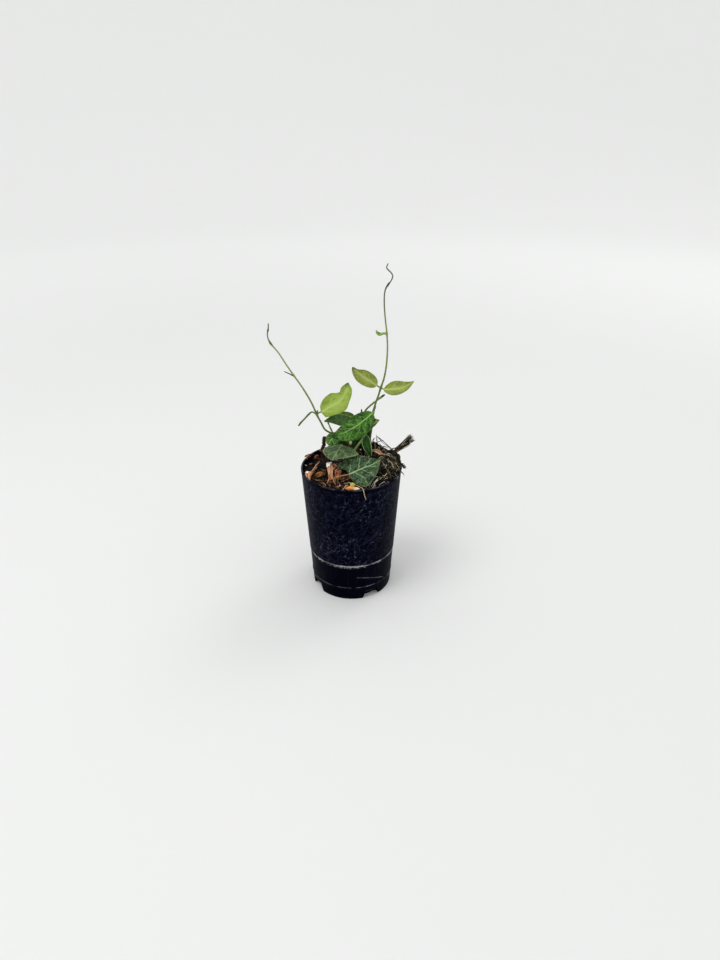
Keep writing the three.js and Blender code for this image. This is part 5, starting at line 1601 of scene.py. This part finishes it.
def blade_lift(leaf, look, q, v, up, reach, closing):
    """How far the skin stands off the flat of the leaf at q along it and v across it."""
    size = abs(v)
    base = min(1, q / BASE)
    ripple = leaf["wave"] * math.sin(2 * math.pi * leaf["waves"] * q + leaf["phase"] + v) * v * v
    lift = side_reach(leaf, 1, q)[0] * leaf["cup"] * v * v + ripple * math.sin(math.pi * q)
    turns = side_veins(q, size, look["veins"], look["lean"]) + (0.5 if v > 0 else 0)
    field = size * (1 - size) * 4 * closing * base
    lift += look["quilt"] * field * -math.cos(2 * math.pi * turns)
    valley = math.exp(-(reach / MIDRIB["reach"]) ** 2) * base
    return lift - (MIDRIB["furrow"] if up > 0 else MIDRIB["rib"]) * valley * closing


def build_leaf(name, look, around=56, blade_steps=48):
    """One closed skin round the stalk and the blade, and the length of the blade."""
    leaf = {**PLAIN_LEAF, **LEAVES[name]}
    route, start = leaf_route(leaf)
    stalk_steps = max(6, round(start * route.length / STALK_STEP))
    along = stalk_steps + blade_steps
    faces = Vector(leaf["face"]), Vector(leaf.get("face_tip", leaf["face"]))

    def place(u, w):
        step = round(w * along)
        on_blade = max(0, step - stalk_steps) / blade_steps
        q = on_blade ** CROWDING
        share = start + (1 - start) * q if step > stalk_steps else start * step / stalk_steps
        tangent = route.tangent(min(share, LAST_TANGENT))
        normal = faces[0].lerp(faces[1], q)
        normal = (normal - normal.dot(tangent) * tangent).normalized()
        side = tangent.cross(normal)
        v, up = -math.cos(2 * math.pi * u), math.sin(2 * math.pi * u)
        closing = min(1, (1 - q) / CLOSING) ** 0.5
        stalk_radius = leaf["stalk_radius"] * (0 if step == 0 else closing)
        half = 0 if v < 0 else 1
        wide, drawn = side_reach(leaf, half, q)
        reach = max(wide, stalk_radius) * v * drawn
        lift = blade_lift(leaf, look, q, v, up, reach, closing)
        thick = 0.5 * BLADE * abs(up) ** EDGE * closing * math.copysign(1, up)
        lobe = leaf["lobe"][half] * abs(v) ** 1.5 * (1 - q) ** 3 * smooth(0, BASE, q)
        centre = route.point(share)
        round_point = centre + (side * v + normal * up) * stalk_radius
        flat_point = centre + side * reach + normal * (lift + thick) - tangent * lobe
        point = round_point.lerp(flat_point, smooth(0, OPENING, q))
        mark = q if step > stalk_steps else step / stalk_steps - 1
        return point, v, mark, reach, up
    bm = bmesh.new()
    skin(bm, place, around, along, ("across", "along", "span", "upper"))
    close_skins(bm)
    return settle(bm, "fine_" + name), (1 - start) * route.length


leaf_lengths = {name: round(leaf_route({**PLAIN_LEAF, **leaf})[0].length) for name, leaf in LEAVES.items()}
print("lengths of the leaves with their stalks:", leaf_lengths, "mm")

# %% [markdown]
# ## The skin of a leaf
#
# A waxy leaf is never one green. The fields between the veins are darker, the veins and a fine net
# are paler, patches of both wander over it, and the margin has a line of its own. On the green
# leaves the pale patches are painted highlights as well as mottling. The mesh carries how far each
# point lies across and along the blade, so the veins follow the leaf's own shape. A picture of a
# leaf could be wrapped on it, but it would stretch differently on each one.

# %% Green, olive, light, dark and grey skins
PLAIN_LOOK = {
    "veins": 6, "lean": 0.32, "quilt": 0.16, "midrib": 0.7, "side": 0.42, "net": 0.35, "vein_share": 0.7,
    "stalk": colour(112, 138, 66), "margin_from": 0.9, "margin_share": 0.7, "tip": None, "rough": 0.44,
    "mottle": 4, "patch_and_highlight_share": 0.3, "edge_shade": 0.35, "streak": 0, "rib_end": 1.2,
}
GREEN = {
    "blade": colour(50, 108, 6), "shade": colour(4, 38, 0), "vein": colour(156, 200, 112),
    # the green leaves' pale patch colour is a painted highlight as well as mottling
    "patch_and_highlight_colour": colour(96, 146, 40), "margin": colour(40, 84, 8), "patch_and_highlight_share": 0.42, "net": 0.42, "mottle": 3.6,
}
OLIVE = {
    "blade": colour(144, 158, 62), "shade": colour(108, 124, 36), "vein": colour(186, 196, 120),
    "patch_and_highlight_colour": colour(160, 150, 84), "margin": colour(112, 96, 62), "edge_shade": 0.5, "streak": 0.5,
}
LIGHT = {
    "blade": colour(152, 174, 74), "shade": colour(124, 148, 46), "vein": colour(178, 202, 108),
    "patch_and_highlight_colour": colour(166, 190, 92), "margin": colour(96, 116, 44), "edge_shade": 0.5, "streak": 0.6,
}
DARK = {
    "blade": colour(50, 90, 12), "shade": colour(16, 48, 2), "vein": colour(98, 138, 54),
    "patch_and_highlight_colour": colour(70, 100, 46), "margin": colour(112, 146, 70), "vein_share": 0.25, "mottle": 2.6,
}
GREY = {
    "blade": colour(84, 108, 66), "shade": colour(52, 76, 44), "vein": colour(156, 178, 128),
    "patch_and_highlight_colour": colour(102, 118, 92), "margin": colour(142, 154, 114), "vein_share": 0.85, "rough": 0.5,
}
FRONT = {
    "blade": colour(50, 80, 44), "shade": colour(8, 28, 10), "vein": colour(160, 190, 136),
    "patch_and_highlight_colour": colour(84, 108, 80), "margin": colour(100, 122, 84), "vein_share": 0.85, "rough": 0.5,
}
print("a plain look has", len(PLAIN_LOOK), "settings")

# %% How each leaf looks
LEAF_LOOKS = {
    "leaf_light": {**LIGHT, "tip": colour(70, 84, 34)},
    "leaf_edge_on": {
        **DARK, "blade": colour(84, 96, 46), "shade": colour(58, 68, 30), "margin": colour(62, 72, 34),
    },
    "leaf_olive_left": {**OLIVE, "tip": colour(84, 84, 34)},
    "leaf_olive_right": OLIVE,
    "leaf_rolled": {
        **LIGHT, "blade": colour(96, 136, 52), "shade": colour(72, 110, 36), "quilt": 0,
        "stalk": colour(132, 160, 84),
    },
    # leaf_main's darker tip is painted shade where it lies over leaf_round
    "leaf_main": {**GREEN, "midrib": 0.62, "side": 0.4, "rib_end": 0.86, "tip": colour(22, 66, 8)},
    "leaf_round": {**GREEN, "blade": colour(60, 112, 18), "shade": colour(18, 66, 4), "veins": 4, "net": 0.8},
    "leaf_dark": DARK,
    "leaf_behind": {
        **OLIVE, "blade": colour(80, 112, 20), "shade": colour(44, 76, 8), "margin": colour(58, 76, 16),
    },
    "leaf_small_right": {
        **OLIVE, "blade": colour(88, 114, 12), "shade": colour(54, 84, 6), "tip": colour(48, 40, 18),
        "margin": colour(62, 66, 18), "patch_and_highlight_colour": colour(116, 132, 36), "quilt": 0.05,
    },
    # leaf_under's near-black blade and stalk are painted shade for the shadow it lies in below the leaves
    # above it
    "leaf_under": {
        **GREEN, "blade": colour(14, 44, 4), "shade": colour(4, 22, 2), "vein_share": 0.15, "patch_and_highlight_share": 0.2,
        "stalk": colour(20, 36, 12),
    },
    "leaf_hanging": {
        **DARK, "blade": colour(34, 84, 22), "shade": colour(10, 48, 6), "stalk": colour(148, 172, 98),
        "margin": colour(172, 202, 138), "margin_share": 1.0, "margin_from": 0.8,
    },
    "leaf_grey": {**GREY, "veins": 3, "lean": 0.5, "midrib": 0.75, "side": 0.5, "stalk": colour(26, 40, 18)},
    "leaf_front": {
        **FRONT, "veins": 4, "lean": 0.4, "midrib": 0.72, "side": 0.5, "stalk": colour(150, 112, 76),
    },
}
LEAF_SLOTS = {
    "light_leaf": ["leaf_light", "leaf_rolled"],
    "olive_leaf": ["leaf_olive_left", "leaf_olive_right", "leaf_behind", "leaf_small_right"],
    "green_leaf": ["leaf_edge_on", "leaf_main", "leaf_round", "leaf_under"],
    "dark_leaf": ["leaf_dark", "leaf_hanging", "leaf_front"],
    "grey_leaf": ["leaf_grey"],
}
print("leaf finishes by slot:", {slot: len(names) for slot, names in LEAF_SLOTS.items()})


# %% Veins and colours of a leaf
def vein_pattern(finish, look, length, across, along):
    """Where the veins lie, from 0 to 1: side veins, a net between them and the midrib."""
    size = abs(across)
    wander = finish.noise(5, 2) - 0.5
    stagger = 0.5 * across.step(-0.001, 0.001)  # one half's veins start between the other's
    turns = side_veins(along, size, look["veins"], look["lean"]) + stagger + 0.9 * wander
    reach = abs((turns + 0.5).part() - 0.5) * (length / look["veins"])
    side = (reach / (1.25 - 0.8 * size)).step(look["side"], 0.2 * look["side"])
    side = side * finish.noise(3.5, 2).step(0.2, 0.5)
    middle = (abs(finish.mark("span")) / (1.2 - 0.85 * along)).step(look["midrib"], 0.35 * look["midrib"])
    middle = middle * along.step(look["rib_end"], look["rib_end"] - 0.1)
    bent = finish.node("ShaderNodeVectorMath", {"operation": "ADD"}, {0: finish.place, 1: finish.drift(0.6)})
    net = finish.cells(2.6, bent).step(0.12, 0.02) * finish.noise(2.2, 2).step(0.35, 0.65) * look["net"]
    return (side * (0.9 - 0.4 * size)).most(net).most(middle) * along.step(-0.02, 0.03)


print("side veins on each half of a plain leaf:", PLAIN_LOOK["veins"])


# %% Waxy leaf skin
def leaf_finish(name, look, length):
    """The blade's greens, with veins, tip, margin, underside and stalk over them in turn."""
    finish = Finish(name + "_skin", {
        "Specular IOR Level": 0.22, "Subsurface Weight": 0.1, "Subsurface Scale": 0.6 * MM,
        "Subsurface Radius": (0.5, 1.0, 0.25),
    })
    across, along = finish.mark("across"), finish.mark("along")
    size = abs(across)
    wander = finish.noise(4, 2) - 0.5
    veins = vein_pattern(finish, look, length, across, along)
    base = finish.mix(finish.noise(look["mottle"], 5).step(0.36, 0.62), look["shade"], look["blade"])
    # pale patches: mottling, and on the green leaves also painted highlights
    base = finish.mix(finish.noise(1.7, 3).step(0.5, 0.68) * look["patch_and_highlight_share"], base, look["patch_and_highlight_colour"])
    base = finish.mix((size + 0.5 * wander).step(0.45, 1.0) * look["edge_shade"], base, look["shade"])
    base = finish.mix((size + 0.4 * wander).step(0.4, 0.0) * look["streak"], base, look["vein"])
    base = finish.mix(veins * look["vein_share"], base, look["vein"])
    if look["tip"]:
        base = finish.mix((along + 0.2 * wander).step(0.84, 1.0), base, look["tip"])
    margin = (size + 0.06 * wander).step(look["margin_from"], 0.98) * look["margin_share"]
    base = finish.mix(margin, base, look["margin"])
    under = finish.mark("upper").step(0.1, -0.1)
    base = finish.mix(under * 0.4, base, look["vein"])
    base = finish.mix(along.step(0.04, -0.02), base, look["stalk"])
    finish.surface(base_color=base, roughness=look["rough"] + 0.2 * finish.noise(3, 3))
    finish.bump(0.6 * (1 - veins) + 0.4 * finish.noise(0.9, 3), 0.22)
    return finish


for slot, names in LEAF_SLOTS.items():
    for name in names:
        look = {**PLAIN_LOOK, **LEAF_LOOKS[name]}
        blade, length = build_leaf(name, look)
        finish_piece(blade, leaf_finish(name, look, length), slot, [name], crease=80)

# %% [markdown]
# ## The dry twig and the hanging root
#
# A dead stub of stem stands at the back, and one pale root has grown out over the rim. Both are
# tubes again, with rougher skins than the living stems.

# %% Twig and root
TWIG = [[-22.8, 25, 92], [-22.6, 25, 101], [-21.6, 25, 107], [-20.7, 25, 114]]
TWIG_RADII = [1.2, 1.4, 1.5, 1.4, 1.5]
HANGING_ROOT = [
    [-2.6, -21.4, 97.6], [-1.8, -23, 100.2], [1.8, -27, 101.4], [5.6, -31.4, 102], [7.6, -34.4, 102.7],
    [8.6, -36.8, 102.9], [9.2, -38.3, 101.4], [9.8, -38.7, 98.6], [10.9, -38.9, 95.4],
]


def build_tube(name, line, radius, around, along, tint, rough):
    """A piece that is one rough tube."""
    bm = bmesh.new()
    tube(bm, Route(line), radius, around, along, tint, rough)
    close_skins(bm)
    return settle(bm, name)


twig = build_tube("fine_dry_twig", TWIG, lambda share: along_list(TWIG_RADII, share), 16, 40, 0.35, 0.7)
twig_finish = crumb_finish("dry_stem_bark", [
    (0.0, colour(20, 13, 10)), (0.4, colour(56, 38, 28)), (0.8, colour(130, 96, 70)),
])
finish_piece(twig, twig_finish, "twig", ["dry_twig"], crease=60)

root = build_tube("fine_hanging_root", HANGING_ROOT, lambda share: 0.34 - 0.1 * share, 10, 70, 0.7, 0.3)
root_finish = crumb_finish("dry_root_skin", [
    (0.0, colour(110, 92, 62)), (0.6, colour(176, 156, 114)), (1.0, colour(214, 196, 156)),
])
finish_piece(root, root_finish, "root", ["hanging_root"], crease=60)
